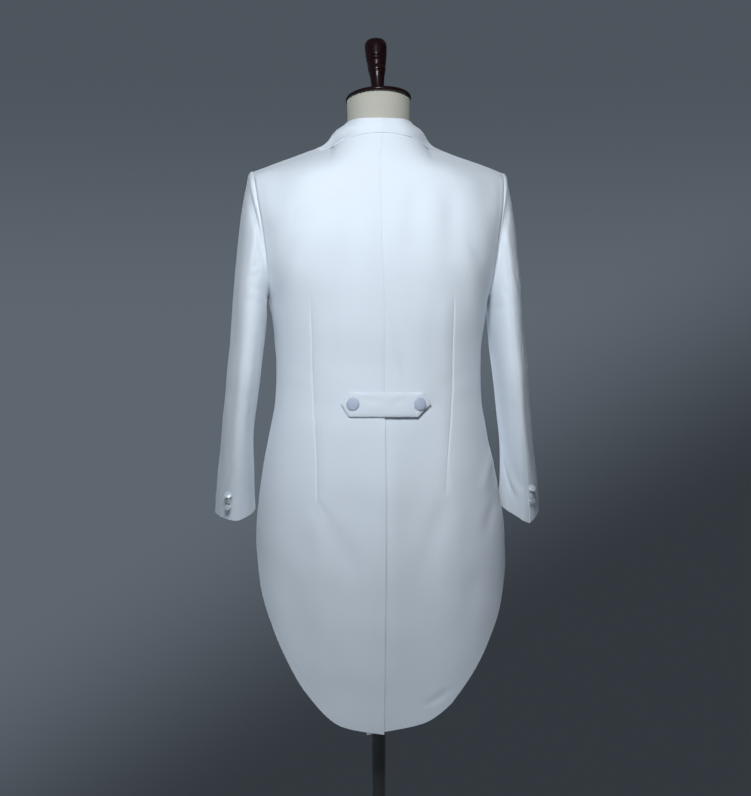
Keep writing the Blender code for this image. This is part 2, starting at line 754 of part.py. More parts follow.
def cuff_place(height, distance):
    """A place on the left top sleeve beside the hind seam, and the way out there."""
    centre_x, centre_y, half_width, half_depth, _ = sleeve_ring(height)
    seam = HIND_SEAM / (2 * ARMHOLE_COLUMNS)
    turn = seam - VENT_BUTTON_X / (2 * math.pi * half_width)
    middle = level_sleeve(turn, height)
    ahead = level_sleeve(turn + 0.005, height) - level_sleeve(turn - 0.005, height)
    down = level_sleeve(turn, height - 0.005) - level_sleeve(turn, height + 0.005)
    normal = ahead.cross(down).normalized()
    if normal.dot(Vector((middle.x - centre_x, middle.y - centre_y, 0))) < 0:
        normal = -normal
    return middle + normal * distance, normal


# ---- dress form ----------------------------------------------------------------------------------


def build_form_body(material, collection):
    """The limbless form: smooth rings from the hip to the sloping top of the neck."""
    section = table_curve(FORM)
    heights = [row[0] for row in FORM]
    steps = []
    for low, high in zip(heights, heights[1:]):
        parts = max(1, round((high - low) / 0.045))
        steps += [low + (high - low) * i / parts for i in range(parts)]
    steps.append(heights[-1])
    shape = bmesh.new()
    rings = []
    for height in steps:
        half_width, back_y, front_y, power = section(height)
        ring = []
        for i in range(FORM_STEPS):
            angle = 2 * math.pi * i / FORM_STEPS
            cosine, sine = math.cos(angle), math.sin(angle)
            x = half_width * math.copysign(abs(cosine) ** (2 / power), cosine)
            depth = back_y if sine > 0 else -front_y
            y = depth * math.copysign(abs(sine) ** (2 / power), sine)
            slope = ease(height, NECK_BASE, FORM[-1][0]) * math.tan(math.radians(NECK_SLOPE)) * y
            ring.append(shape.verts.new((x, y, height + slope)))
        rings.append(ring)
    for lower, upper in zip(rings, rings[1:]):
        for i in range(FORM_STEPS):
            j = (i + 1) % FORM_STEPS
            shape.faces.new((lower[i], lower[j], upper[j], upper[i]))
    shape.faces.new(list(reversed(rings[0])))
    shape.faces.new(rings[-1])
    return finish(shape, "form_body", material, collection)


def build_head(material, collection):
    """The wooden cap on the neck and the turned knob on it, both square to the sloping neck."""
    slope = Matrix.Rotation(math.radians(NECK_SLOPE), 4, "X")
    turn = slope @ Matrix.Rotation(math.radians(HEAD_LEAN), 4, "Y")
    foot = Vector((0, -0.0006, CAP_FOOT))
    rim = CAP_HEIGHT / 2
    cap = [(0, CAP_HEIGHT), (CAP_RADIUS - rim, CAP_HEIGHT)]
    for i in range(1, 6):
        angle = math.pi / 2 - math.pi * i / 6
        cap.append((CAP_RADIUS - rim + rim * math.cos(angle), rim + rim * math.sin(angle)))
    cap += [(CAP_RADIUS - rim, 0), (0, 0)]
    part = turned("neck_cap", cap, CAP_STEPS, material, collection)
    part.matrix_world = Matrix.Translation(foot) @ turn
    part = turned("neck_knob", KNOB, KNOB_STEPS, material, collection)
    part.matrix_world = Matrix.Translation(foot) @ turn @ Matrix.Translation((0, 0, CAP_HEIGHT + SEAM_GAP))


def build_stand(material, collection):
    """The pole and the round base that carry the form."""
    bottom = BASE[0][1] + SEAM_GAP
    top = FORM[0][0] - SEAM_GAP
    profile = [(0, top - bottom), (POLE_RADIUS, top - bottom), (POLE_RADIUS, 0), (0, 0)]
    pole = turned("pole", profile, KNOB_STEPS, material, collection)
    pole.location = (0, 0, bottom)
    turned("base", BASE, BASE_STEPS, material, collection)


def finish_material(name, colour, roughness, metallic=0.0):
    material = bpy.data.materials.new(name)
    material.use_nodes = True
    shader = material.node_tree.nodes["Principled BSDF"]
    shader.inputs["Base Color"].default_value = (*colour, 1)
    shader.inputs["Roughness"].default_value = roughness
    shader.inputs["Metallic"].default_value = metallic
    return material


def main():
    for old in list(bpy.data.objects):
        bpy.data.objects.remove(old)
    collection = bpy.data.collections.new("Tuxedo tailcoat")
    bpy.context.scene.collection.children.link(collection)
    suiting = finish_material("White suiting", (0.80, 0.83, 0.88), 0.75)
    satin = finish_material("Covered button satin", (0.50, 0.54, 0.66), 0.45)
    linen = finish_material("Linen", (0.66, 0.62, 0.53), 0.85)
    wood = finish_material("Lacquered dark wood", (0.10, 0.02, 0.015), 0.15)
    steel = finish_material("Black painted steel", (0.03, 0.03, 0.03), 0.40)
    for side in (1, -1):
        build_back(side, suiting, collection)
        build_front(side, suiting, collection)
        build_lapel(side, suiting, collection)
        build_sleeve(side, "top", suiting, collection)
        build_sleeve(side, "under", suiting, collection)
    build_collar(suiting, collection)
    build_belt(suiting, collection)
    build_buttons(satin, collection)
    build_form_body(linen, collection)
    build_head(wood, collection)
    build_stand(steel, collection)


main()
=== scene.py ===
"""A white tuxedo tailcoat on a limbless dress form, laid out as a Blender add-on.

Metres, +Z up. The coat's front faces -Y, its tails hang at +Y, and +X is the wearer's left. Each cloth
piece is a fine wall inside the surface that its solid in the frame stands on, with its seams, darts and
soft folds pressed into it.
"""

import json
import math

import bmesh
import bpy
import numpy as np
from mathutils import Matrix, Vector
from mathutils.bvhtree import BVHTree


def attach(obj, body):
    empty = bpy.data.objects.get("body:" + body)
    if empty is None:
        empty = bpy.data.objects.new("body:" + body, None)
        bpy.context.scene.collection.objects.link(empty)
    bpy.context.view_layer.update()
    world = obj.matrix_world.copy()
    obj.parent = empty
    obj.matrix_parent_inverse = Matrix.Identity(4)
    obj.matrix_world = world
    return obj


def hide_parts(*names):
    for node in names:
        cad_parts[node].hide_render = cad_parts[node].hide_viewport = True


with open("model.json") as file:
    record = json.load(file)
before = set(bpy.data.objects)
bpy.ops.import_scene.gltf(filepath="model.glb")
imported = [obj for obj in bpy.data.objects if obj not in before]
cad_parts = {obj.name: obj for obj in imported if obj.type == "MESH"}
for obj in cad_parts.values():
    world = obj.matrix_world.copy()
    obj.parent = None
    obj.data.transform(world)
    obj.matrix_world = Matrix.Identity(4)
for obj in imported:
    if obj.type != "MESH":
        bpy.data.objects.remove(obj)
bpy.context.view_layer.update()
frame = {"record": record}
SLOT_COLOUR = {slot["slot"]: tuple(slot["base_color"]) for slot in frame["record"]["materials"]}

bl_info = {
    "name": "Tuxedo tailcoat",
    "version": (1, 0, 0),
    "blender": (4, 5, 0),
    "location": "View3D > Sidebar > Tailcoat",
    "description": "Builds a white tailcoat on a dress form, piece by piece",
    "category": "Object",
}

AHEAD = np.array((0.0, -1.0, 0.0))
BEHIND = np.array((0.0, 1.0, 0.0))
UP = np.array((0.0, 0.0, 1.0))

# ---- thicknesses and gaps ------------------------------------------------------------------------
SUITING = 0.002
COLLAR_WALL = 0.0016
BELT_WALL = 0.0022
LAID_GAP = 0.0012  # between a lapel and the front that it lies on
SEAM_GAP = 0.0001  # between two pieces that are sewn edge to edge
EDGE_ROUND = 0.0007  # radius of a pressed edge
BELT_ROUND = 0.0012  # and of the half belt's
COLLAR_LIE = 0.0018  # the outer face of the collar's fall lies this far off the coat
FINE_STEPS = (0.0, 0.0009, 0.0019, 0.0032, 0.0052)  # grid steps beside an edge, a seam or a dart

# ---- coat: the main points -----------------------------------------------------------------------
NECK_BACK = np.array((0.0, 0.066, 1.534))  # centre back of the neckline
NECK_POINT = np.array((0.078, 0.004, 1.516))  # shoulder seam at the neck
SHOULDER_TIP = np.array((0.2255, -0.006, 1.460))  # shoulder seam at the armhole
ARMPIT = 1.235  # height of the bottom of the armhole
NECK_SHARE = 0.35  # share of the back's top edge that is neckline
YOKE_EASE = 1.440  # below this height the neckline no longer bends the back

# Sloping rings of the back, down to the armpit. The level is the ring's height at the centre back, turn is
# its heading at the armhole (0 along +X, 90 along -Y), and flat and round are its fullness at both ends.
YOKE_BACK = (
    # level, centre y, armhole x, y, z, turn, flat, round
    (1.534, 0.066, 0.2255, -0.006, 1.460, 4, 0.35, 0.50),
    (1.505, 0.082, 0.2245, 0.019, 1.448, 20, 0.45, 0.45),
    (1.460, 0.102, 0.2200, 0.046, 1.413, 36, 0.55, 0.42),
    (1.400, 0.117, 0.2125, 0.062, 1.363, 50, 0.58, 0.45),
    (1.340, 0.124, 0.2055, 0.062, 1.313, 62, 0.62, 0.52),
    (1.285, 0.125, 0.2000, 0.049, 1.270, 74, 0.68, 0.60),
    (1.250, 0.1235, 0.1978, 0.027, 1.2445, 83, 0.72, 0.66),
)

# Sloping rings of the front. The level is the ring's height at the roll line of the lapel.
YOKE_FRONT = (
    # level, roll line y, armhole x, y, z, turn, round, flat
    (1.516, 0.004, 0.2255, -0.006, 1.460, 176, 0.33, 0.12),
    (1.500, -0.026, 0.2235, -0.028, 1.446, 165, 0.38, 0.38),
    (1.460, -0.056, 0.2150, -0.048, 1.420, 150, 0.42, 0.42),
    (1.400, -0.086, 0.2020, -0.063, 1.378, 138, 0.42, 0.45),
    (1.340, -0.108, 0.1930, -0.070, 1.328, 124, 0.48, 0.54),
    (1.285, -0.121, 0.1920, -0.055, 1.276, 110, 0.58, 0.62),
    (1.250, -0.125, 0.1950, -0.030, 1.246, 98, 0.66, 0.70),
)

# Level rings of the body and the tails.
TORSO = (
    # height, back y, side x, side y, front y, fullness
    (1.235, 0.1230, 0.1970, 0.004, -0.126, 0.73),
    (1.200, 0.1200, 0.1912, 0.003, -0.127, 0.70),
    (1.150, 0.1155, 0.1852, 0.002, -0.126, 0.66),
    (1.105, 0.1125, 0.1838, 0.002, -0.124, 0.63),
    (1.050, 0.1150, 0.1862, 0.002, -0.123, 0.61),
    (1.000, 0.1210, 0.1948, 0.001, -0.123, 0.60),
    (0.940, 0.1280, 0.2070, 0.000, -0.124, 0.60),
    (0.880, 0.1330, 0.2170, 0.000, -0.125, 0.60),
    (0.800, 0.1340, 0.2240, 0.000, -0.125, 0.60),
    (0.720, 0.1290, 0.2240, 0.000, -0.124, 0.60),
    (0.620, 0.1190, 0.2175, 0.000, -0.122, 0.60),
    (0.540, 0.1100, 0.2110, 0.000, -0.120, 0.60),
    (0.460, 0.1030, 0.2040, 0.000, -0.118, 0.60),
)
SIDE_ROUND = 0.05  # a ring is this much less full at the side seam than at its middle
TAIL_DRIFT = -0.005  # the tails hang this far to the wearer's right
DRIFT_TOP = 1.000
DRIFT_BOTTOM = 0.750

# The hem all round one half: tails at the back, a steep edge at the side, a short front at the waist.
HEM = (
    # degrees round from the centre back, height on the left, height on the right
    (0, 0.4700, 0.4700),
    (20, 0.4840, 0.4870),
    (40, 0.5410, 0.5530),
    (55, 0.6110, 0.6170),
    (67, 0.6760, 0.6760),
    (78, 0.7340, 0.7340),
    (90, 0.7950, 0.7950),
    (100, 0.8600, 0.8600),
    (110, 0.9350, 0.9350),
    (118, 0.9870, 0.9870),
    (128, 1.0130, 1.0130),
    (145, 1.0180, 1.0180),
    (165, 1.0080, 1.0080),
    (180, 0.9980, 0.9980),
)

# ---- fronts and vent -----------------------------------------------------------------------------
BREAK_Z = 1.075  # the roll line starts here, just above the button
FRONT_LAP = 0.014  # each front passes the centre by this much
ROLL_LEAN = (NECK_POINT[0] + FRONT_LAP) / (NECK_POINT[2] - BREAK_Z)
FRONT_SET_IN = 0.0068  # the right front lies this far inside the left one; its lapel passes between them
SET_IN_TOP = 1.270  # from here
SET_IN_FULL = 1.160  # to here
FRONT_BUTTON_Z = 1.060
VENT_SET_IN = 0.0032  # the right tail lies this far inside the left one, from under the half belt down
VENT_LAP = 0.030  # and passes this far beyond the centre
SET_IN_START = 1.068  # it goes in from here to the vent's top
LAP_START = 1.066  # and widens from here
VENT_TOP = 1.040
SEAM_WANDER = 0.007  # the centre back seam wanders this far to the wearer's left between the shoulder blades
VENT_LEAN = 0.005  # and the vent's edge hangs this far back to the middle

# ---- lapels and collar ---------------------------------------------------------------------------
LAPEL_FOOT = {1: 1.079, -1: 1.106}  # heights of the lower ends of the left and the right lapel
# The lapel's width across its roll line, from its foot to its top.
LAPEL_WIDTH = (
    # share of the way up, width
    (0.00, 0.004),
    (0.18, 0.026),
    (0.50, 0.057),
    (0.80, 0.079),
    (1.00, 0.092),
)
# Its top edge: the gorge seam with the collar, then up to the peak.
LAPEL_TOP = (
    # share of the width, height
    (0.00, 1.4460),
    (0.36, 1.4455),
    (0.55, 1.4520),
    (1.00, 1.4660),
)
ROLL_OUT = 0.0028  # the fold of the lapel stands this far past the front's edge

# Half of the collar, from the centre back to its front end at the gorge.
COLLAR = (
    # share, foot x, y, z, fold x, y, z, edge x, y, z
    (0.00, 0.0000, 0.0630, 1.5345, 0.0000, 0.0610, 1.5505, 0.0000, 0.0748, 1.5272),
    (0.20, 0.0330, 0.0560, 1.5320, 0.0310, 0.0535, 1.5505, 0.0436, 0.0678, 1.5232),
    (0.40, 0.0590, 0.0340, 1.5240, 0.0520, 0.0325, 1.5490, 0.0810, 0.0410, 1.5165),
    (0.60, 0.0730, 0.0040, 1.5150, 0.0612, 0.0020, 1.5430, 0.1120, 0.0060, 1.5080),
    (0.80, 0.0700, -0.0300, 1.4900, 0.0672, -0.0310, 1.5060, 0.1110, -0.0332, 1.4890),
    (1.00, 0.0610, -0.0595, 1.4460, 0.0631, -0.0658, 1.4500, 0.1010, -0.0622, 1.4500),
)
COLLAR_FOLD = 0.0032  # radius of the fold's outer face
COLLAR_BELLY = 0.0015  # the fall bulges this much between its fold and its edge
COLLAR_SIDE_BELLY = 0.0034  # and this much more over the shoulders
# Small wrinkles across its fall: place round the neck, half width and depth.
COLLAR_WRINKLES = (
    (-0.112, 0.0040, 0.0004),
    (0.104, 0.0050, 0.0003),
    (0.030, 0.0060, 0.0003),
)

# ---- sleeves -------------------------------------------------------------------------------------
SLEEVE_TOP = 1.200  # the first level ring under the sleeve head
HEAD_MIDDLE_X = 0.215  # the middle of the head
CUFF = 0.850
SLEEVE = (
    # height, centre x, centre y, half width, half depth, tilt in degrees
    (1.200, 0.2322, -0.012, 0.0310, 0.081, 0),
    (1.160, 0.2350, -0.011, 0.0308, 0.080, 0),
    (1.110, 0.2405, -0.011, 0.0305, 0.078, 2),
    (1.060, 0.2460, -0.016, 0.0295, 0.075, 5),
    (0.970, 0.2552, -0.034, 0.0278, 0.068, 11),
    (0.900, 0.2598, -0.052, 0.0290, 0.061, 16),
    (0.850, 0.2612, -0.066, 0.0312, 0.056, 20),
)
CAP_REACH = 0.051  # how boldly the sleeve head leaves the armhole
CAP_DROP = 1.20  # and how boldly it arrives in the sleeve
CAP_SPREAD = 0.35  # the head also leaves towards the back and the front
CAP_SINK = -0.12  # and a little downwards
ARMHOLE_INSET = 0.0032  # the sleeve starts this far inside the armhole's edge where they meet in a valley
ARMHOLE_TUCK = 0.0026  # and passes this far under it
HIND_SEAM = 0.25  # turns from the shoulder to each seam of the sleeve
FORE_SEAM = -0.30
SEAM_TWIST = {1: 0.045, -1: -0.050}  # turns that the left and the right hind seam wander by the cuff
TWIST_TOP = 1.060  # from here down
CUFF_LIFT = {1: 0.0125, -1: 0.0190}  # each cuff is raised this much at its back
CUFF_POINT = {1: 0.0060, -1: 0.0165}  # and hangs this much lower in a point at the hind seam
CUFF_TIP = {1: 0.0, -1: 0.30}  # a share of which ends in a sharper tip
CREASE_OUT = {1: 0.010, -1: 0.003}  # how far the crease under the sleeve head leaves the armhole higher up
CUFF_WIDEN = 0.0055  # half of what the cuff is wider than the sleeve's rings
CUFF_INNER_LIFT = 0.010  # its inner side
CUFF_OUTER_LIFT = {1: 0.001, -1: 0.007}  # and its outer side are raised too
CUFF_ASIDE = {1: -0.0055, -1: 0.0050}  # how far out each cuff hangs
VENT_BUTTON_X = 0.0105  # from the hind seam to the cuff buttons
CUFF_BUTTONS = {1: (0.9020, 0.8925, 0.8815), -1: (0.9110, 0.8985, 0.8880)}  # heights
BUTTON_LIFT = 0.0028  # the cuff buttons stand this far and one wall off the cloth
BUTTON_TILTS = {  # and are pulled askew
    1: ((-0.60, 0.0, 0.62), (0.25, 0.0, -0.20), (0.10, 0.0, 0.75)),
    -1: ((0.45, 0.0, 0.65), (-0.25, 0.0, 0.40), (0.30, 0.0, -0.45)),
}

# ---- half belt and buttons -----------------------------------------------------------------------
BELT_MIDDLE_X = -0.0024
BELT_LENGTH = 0.157
BELT_HEIGHT = 0.045
BELT_Z = 1.0465
BELT_POINT = 0.0135  # length of each pointed end
BELT_LOW_POINT = 0.0235  # but of the right one below its middle
BELT_SAG = 0.0024  # its top edge sags this much
BELT_STANDOFF = 0.0042  # its outer face, before it is puffed, stands this far off the back's
BELT_BUTTON_INSET = 0.0210
BELT_BUTTON_X = {side: BELT_MIDDLE_X + side * (BELT_LENGTH / 2 - BELT_BUTTON_INSET) for side in (1, -1)}
BELT_PUFF = 0.0034  # its middle stands out this much more than its edge
BELT_PUFF_REACH = 0.014  # and is full this far from it
BELT_SINK = 0.0011  # its edge, the seam across each end and the buttons are drawn in this much
BELT_BUTTON = 0.0225  # diameters
CUFF_BUTTON = 0.0140
FRONT_BUTTON = 0.0200
HOLE_START = 0.0045  # the buttonhole, from the coat's middle
HOLE_LENGTH = 0.020
HOLE_HALF = 0.0006  # half of its height
BUTTON_DOME = 0.30  # height of a button as a share of its radius

# ---- dress form ----------------------------------------------------------------------------------
FORM = (
    # height, half width, back y, front y, power of the section (2 is an ellipse)
    (0.800, 0.138, 0.084, -0.074, 2.2),
    (0.806, 0.147, 0.092, -0.082, 2.2),
    (0.830, 0.156, 0.102, -0.089, 2.2),
    (0.900, 0.163, 0.108, -0.092, 2.2),
    (0.970, 0.160, 0.103, -0.094, 2.2),
    (1.040, 0.150, 0.093, -0.094, 2.2),
    (1.110, 0.145, 0.088, -0.095, 2.2),
    (1.200, 0.156, 0.096, -0.104, 2.3),
    (1.290, 0.169, 0.106, -0.106, 2.3),
    (1.360, 0.174, 0.104, -0.091, 2.3),
    (1.420, 0.168, 0.092, -0.068, 2.1),
    (1.455, 0.146, 0.080, -0.054, 1.8),
    (1.480, 0.108, 0.068, -0.045, 1.7),
    (1.500, 0.073, 0.059, -0.042, 1.8),
    (1.518, 0.060, 0.0545, -0.0430, 1.9),
    (1.545, 0.0555, 0.0530, -0.0480, 2.0),
    (1.5895, 0.0570, 0.0545, -0.0550, 2.0),
)
NECK_BASE = 1.500  # below this height the rings are level
NECK_SLOPE = 12.7  # degrees that the neck's top slopes down to the front
HEAD_LEAN = 1.6  # degrees that cap and knob lean to the wearer's left
CAP_FOOT = 1.5915
CAP_RADIUS = 0.0592
CAP_HEIGHT = 0.0075
FORM_SEAMS = (0.0, 0.125, 0.25, 0.375, 0.5, 0.625, 0.75, 0.875)  # turns round the form
KNOB_STRETCH = 1.03
KNOB_LIFT = 0.0003  # the knob stands this far clear of the cap
# The turned knob, down its outer side, with its beads and grooves.
KNOB = (
    # radius, height above the cap
    (0.0000, 0.1075),
    (0.0072, 0.1072),
    (0.0122, 0.1064),
    (0.0157, 0.1048),
    (0.0179, 0.1026),
    (0.0194, 0.0996),
    (0.0201, 0.0960),
    (0.0202, 0.0925),
    (0.0200, 0.0890),
    (0.0196, 0.0840),
    (0.0192, 0.0800),
    (0.0190, 0.0768),
    (0.0186, 0.0745),
    (0.0176, 0.0738),
    (0.0172, 0.0733),
    (0.0176, 0.0728),
    (0.0185, 0.0720),
    (0.0183, 0.0700),
    (0.0181, 0.0682),
    (0.0173, 0.0677),
    (0.0171, 0.0672),
    (0.0174, 0.0667),
    (0.0177, 0.0660),
    (0.0172, 0.0636),
    (0.0168, 0.0600),
    (0.0165, 0.0574),
    (0.0158, 0.0567),
    (0.0156, 0.0560),
    (0.0159, 0.0553),
    (0.0163, 0.0544),
    (0.0158, 0.0500),
    (0.0155, 0.0476),
    (0.0148, 0.0469),
    (0.0145, 0.0461),
    (0.0147, 0.0453),
    (0.0146, 0.0440),
    (0.0134, 0.0390),
    (0.0126, 0.0320),
    (0.0119, 0.0240),
    (0.0116, 0.0180),
    (0.0116, 0.0135),
    (0.0118, 0.0105),
    (0.0124, 0.0086),
    (0.0137, 0.0068),
    (0.0150, 0.0055),
    (0.0161, 0.0042),
    (0.0165, 0.0024),
    (0.0163, 0.0008),
    (0.0158, 0.0000),
    (0.0000, 0.0000),
)
POLE_RADIUS = 0.0125
POLE_GAP = 0.0003
BASE = (
    # radius, height
    (0.0000, 0.0220),
    (0.0400, 0.0220),
    (0.0700, 0.0202),
    (0.1100, 0.0170),
    (0.1500, 0.0136),
    (0.1680, 0.0118),
    (0.1740, 0.0108),
    (0.1778, 0.0090),
    (0.1795, 0.0062),
    (0.1800, 0.0040),
    (0.1797, 0.0018),
    (0.1790, 0.0006),
    (0.1778, 0.0000),
    (0.0000, 0.0000),
)

# ---- darts and folds -----------------------------------------------------------------------------
# The waist dart of each back: x and height down its line.
DARTS = {
    1: ((0.1300, 1.250), (0.1262, 1.15), (0.1245, 1.08), (0.1215, 1.010), (0.1188, 0.95), (0.1180, 0.881)),
    -1: ((0.1225, 1.257), (0.1226, 1.15), (0.1226, 1.08), (0.1180, 1.012), (0.1110, 0.95), (0.1070, 0.887)),
}
DART_DEPTH = {1: 0.0011, -1: 0.0008}

SHOULDER_LIFT = 0.0018  # padding lifts the shoulders this much
RIGHT_PAD = 0.0034  # and their outer ends this much more
LEFT_PAD = 0.0006
PAD_RIDGE = 0.0028  # it also fills the back out beside the armhole

# Lines pressed into the cloth: half width and depth.
SEAM_LINE = (0.0016, 0.0003)
CENTRE_DRAW = (0.0090, 0.0005)  # the cloth that the centre seam draws in
HIND_DRAW = (0.0080, 0.0003)  # and the hind seam of a sleeve
DART_LINE = 0.0012  # half widths
DART_DRAW = 0.0085
ARMHOLE_LINE = (0.0022, 0.0011)
FRONT_DART = (0.0014, 0.0005)
FORM_SEAM = (0.0035, 0.0007)
ARMHOLE_RIDGE = {"back": 0.0014, "front": 0.0009}  # height of the ridge beside the armhole seam
HEM_TURN = 0.034  # width of the turned-up hem
SLEEVE_PUFF = 0.0022  # the sleeve head is this much fuller
# Under the head two hollows follow each other down the sleeve: half width and depth.
CREASE_HOLLOWS = ((0.0044, 0.0024), (0.0090, 0.0022))
CREASE_APART = 0.009
CREASE_START = 0.0060  # the first one's distance from the armhole at the back
CUFF_VENT = (0.012, 0.0011)  # half width and depth of the vent's underlap
UNEVEN = {"back": 0.00035, "front": 0.0003, "lapel": 0.0002, "collar": 0.00022, "sleeve": 0.0003}

# Soft folds pressed into a panel. Each runs from one place to another, is so wide, and stands out or, with a
# minus, sinks in; its middle bows sideways, and it widens by flare towards its end.
BACK_FOLDS = {
    1: (
        # x, height, to x, height, half width, depth, bow, flare
        (0.1180, 0.884, 0.1230, 0.850, 0.0030, -0.0012, 0.000, 1.4),
        (0.1175, 0.884, 0.1010, 0.848, 0.0034, -0.0012, 0.000, 1.6),
        (0.1120, 0.860, 0.0560, 0.735, 0.0140, -0.0022, 0.006, 0.8),
        (0.1380, 0.870, 0.1050, 0.720, 0.0200, 0.0014, 0.006, 0.6),
        (0.1350, 1.390, 0.1980, 1.300, 0.0200, -0.0022, 0.004, 0.3),
        (0.0700, 1.400, 0.0850, 1.200, 0.0200, -0.0012, 0.006, 0.3),
        (0.0350, 1.370, 0.0420, 1.150, 0.0200, 0.0016, 0.004, 0.3),
        (0.0980, 1.230, 0.0940, 1.080, 0.0130, -0.0009, 0.003, 0.4),
        (0.0120, 0.990, 0.0180, 0.560, 0.0220, 0.0020, 0.003, 0.5),
        (0.0700, 0.990, 0.0620, 0.600, 0.0240, -0.0024, 0.006, 0.5),
        (0.1080, 0.960, 0.1000, 0.560, 0.0220, 0.0016, -0.004, 0.4),
        (0.1530, 1.398, 0.1660, 1.364, 0.0040, -0.0008, 0.002, 0.6),
        (0.1900, 1.352, 0.2040, 1.335, 0.0040, -0.0008, 0.001, 0.4),
        (0.1600, 1.330, 0.1960, 1.215, 0.0140, -0.0022, -0.010, 0.5),
        (0.1450, 1.300, 0.1800, 1.180, 0.0130, 0.0012, -0.008, 0.5),
        (0.1700, 1.120, 0.0900, 1.068, 0.0110, -0.0005, 0.004, 0.6),
        (0.1750, 1.085, 0.1000, 1.040, 0.0100, -0.0004, 0.003, 0.6),
        (0.1750, 1.020, 0.1300, 1.045, 0.0120, -0.0005, 0.003, 0.6),
        (0.1700, 0.760, 0.1250, 0.600, 0.0200, -0.0020, -0.006, 0.6),
        (0.0900, 0.620, 0.0750, 0.520, 0.0180, -0.0014, 0.003, 0.5),
    ),
    -1: (
        (0.0530, 1.430, 0.0500, 1.290, 0.0150, -0.0018, 0.004, 0.4),
        (0.1180, 1.415, 0.1250, 1.300, 0.0150, -0.0019, 0.004, 0.4),
        (0.0860, 1.430, 0.0870, 1.250, 0.0180, 0.0014, 0.004, 0.4),
        (0.0900, 1.240, 0.0880, 1.100, 0.0140, -0.0010, 0.003, 0.4),
        (0.1110, 1.385, 0.1750, 1.345, 0.0180, -0.0012, 0.004, 0.4),
        (0.1450, 1.332, 0.1780, 1.296, 0.0060, -0.0013, 0.002, 0.6),
        (0.1500, 1.345, 0.1950, 1.220, 0.0140, -0.0020, -0.010, 0.4),
        (0.1250, 1.310, 0.1700, 1.190, 0.0130, 0.0012, -0.008, 0.5),
        (0.0030, 1.251, 0.0500, 1.110, 0.0110, -0.0012, 0.006, 0.5),
        (0.0300, 1.130, 0.0420, 1.085, 0.0050, -0.0008, 0.002, 0.4),
        (0.1650, 1.110, 0.0850, 1.062, 0.0110, -0.0006, 0.004, 0.6),
        (0.1780, 1.075, 0.1250, 1.035, 0.0100, -0.0005, 0.003, 0.6),
        (0.1980, 0.950, 0.1820, 0.890, 0.0090, 0.0018, 0.003, 0.4),
        (0.2010, 0.875, 0.1860, 0.812, 0.0090, -0.0018, 0.003, 0.5),
        (0.1060, 0.880, 0.0700, 0.730, 0.0150, -0.0018, 0.006, 0.7),
        (0.1300, 0.860, 0.1050, 0.690, 0.0200, 0.0014, 0.006, 0.5),
        (0.0120, 0.990, 0.0160, 0.560, 0.0180, 0.0018, 0.002, 0.4),
        (0.0620, 0.980, 0.0660, 0.580, 0.0260, -0.0016, 0.004, 0.5),
        (0.0700, 0.520, 0.1180, 0.548, 0.0060, -0.0018, 0.003, 0.4),
        (0.1650, 0.760, 0.1200, 0.610, 0.0180, -0.0016, -0.005, 0.6),
    ),
}
FRONT_FOLDS = {
    1: (
        (0.1500, 1.400, 0.1750, 1.350, 0.0080, -0.0012, 0.003, 0.5),
        (0.1500, 1.330, 0.1850, 1.230, 0.0130, -0.0020, -0.008, 0.5),
        (0.0500, 1.062, 0.1500, 1.110, 0.0090, -0.0014, 0.004, 0.9),
        (0.0450, 1.055, 0.1550, 1.068, 0.0080, -0.0012, 0.002, 1.0),
        (0.0450, 1.048, 0.1300, 1.026, 0.0080, -0.0010, -0.002, 0.8),
    ),
    -1: (
        (0.1450, 1.405, 0.1700, 1.352, 0.0080, -0.0013, 0.003, 0.5),
        (0.1450, 1.335, 0.1850, 1.235, 0.0130, -0.0018, -0.008, 0.5),
        (0.0500, 1.062, 0.1450, 1.100, 0.0090, -0.0013, 0.004, 0.9),
        (0.0450, 1.052, 0.1600, 1.060, 0.0080, -0.0012, 0.002, 1.0),
    ),
}
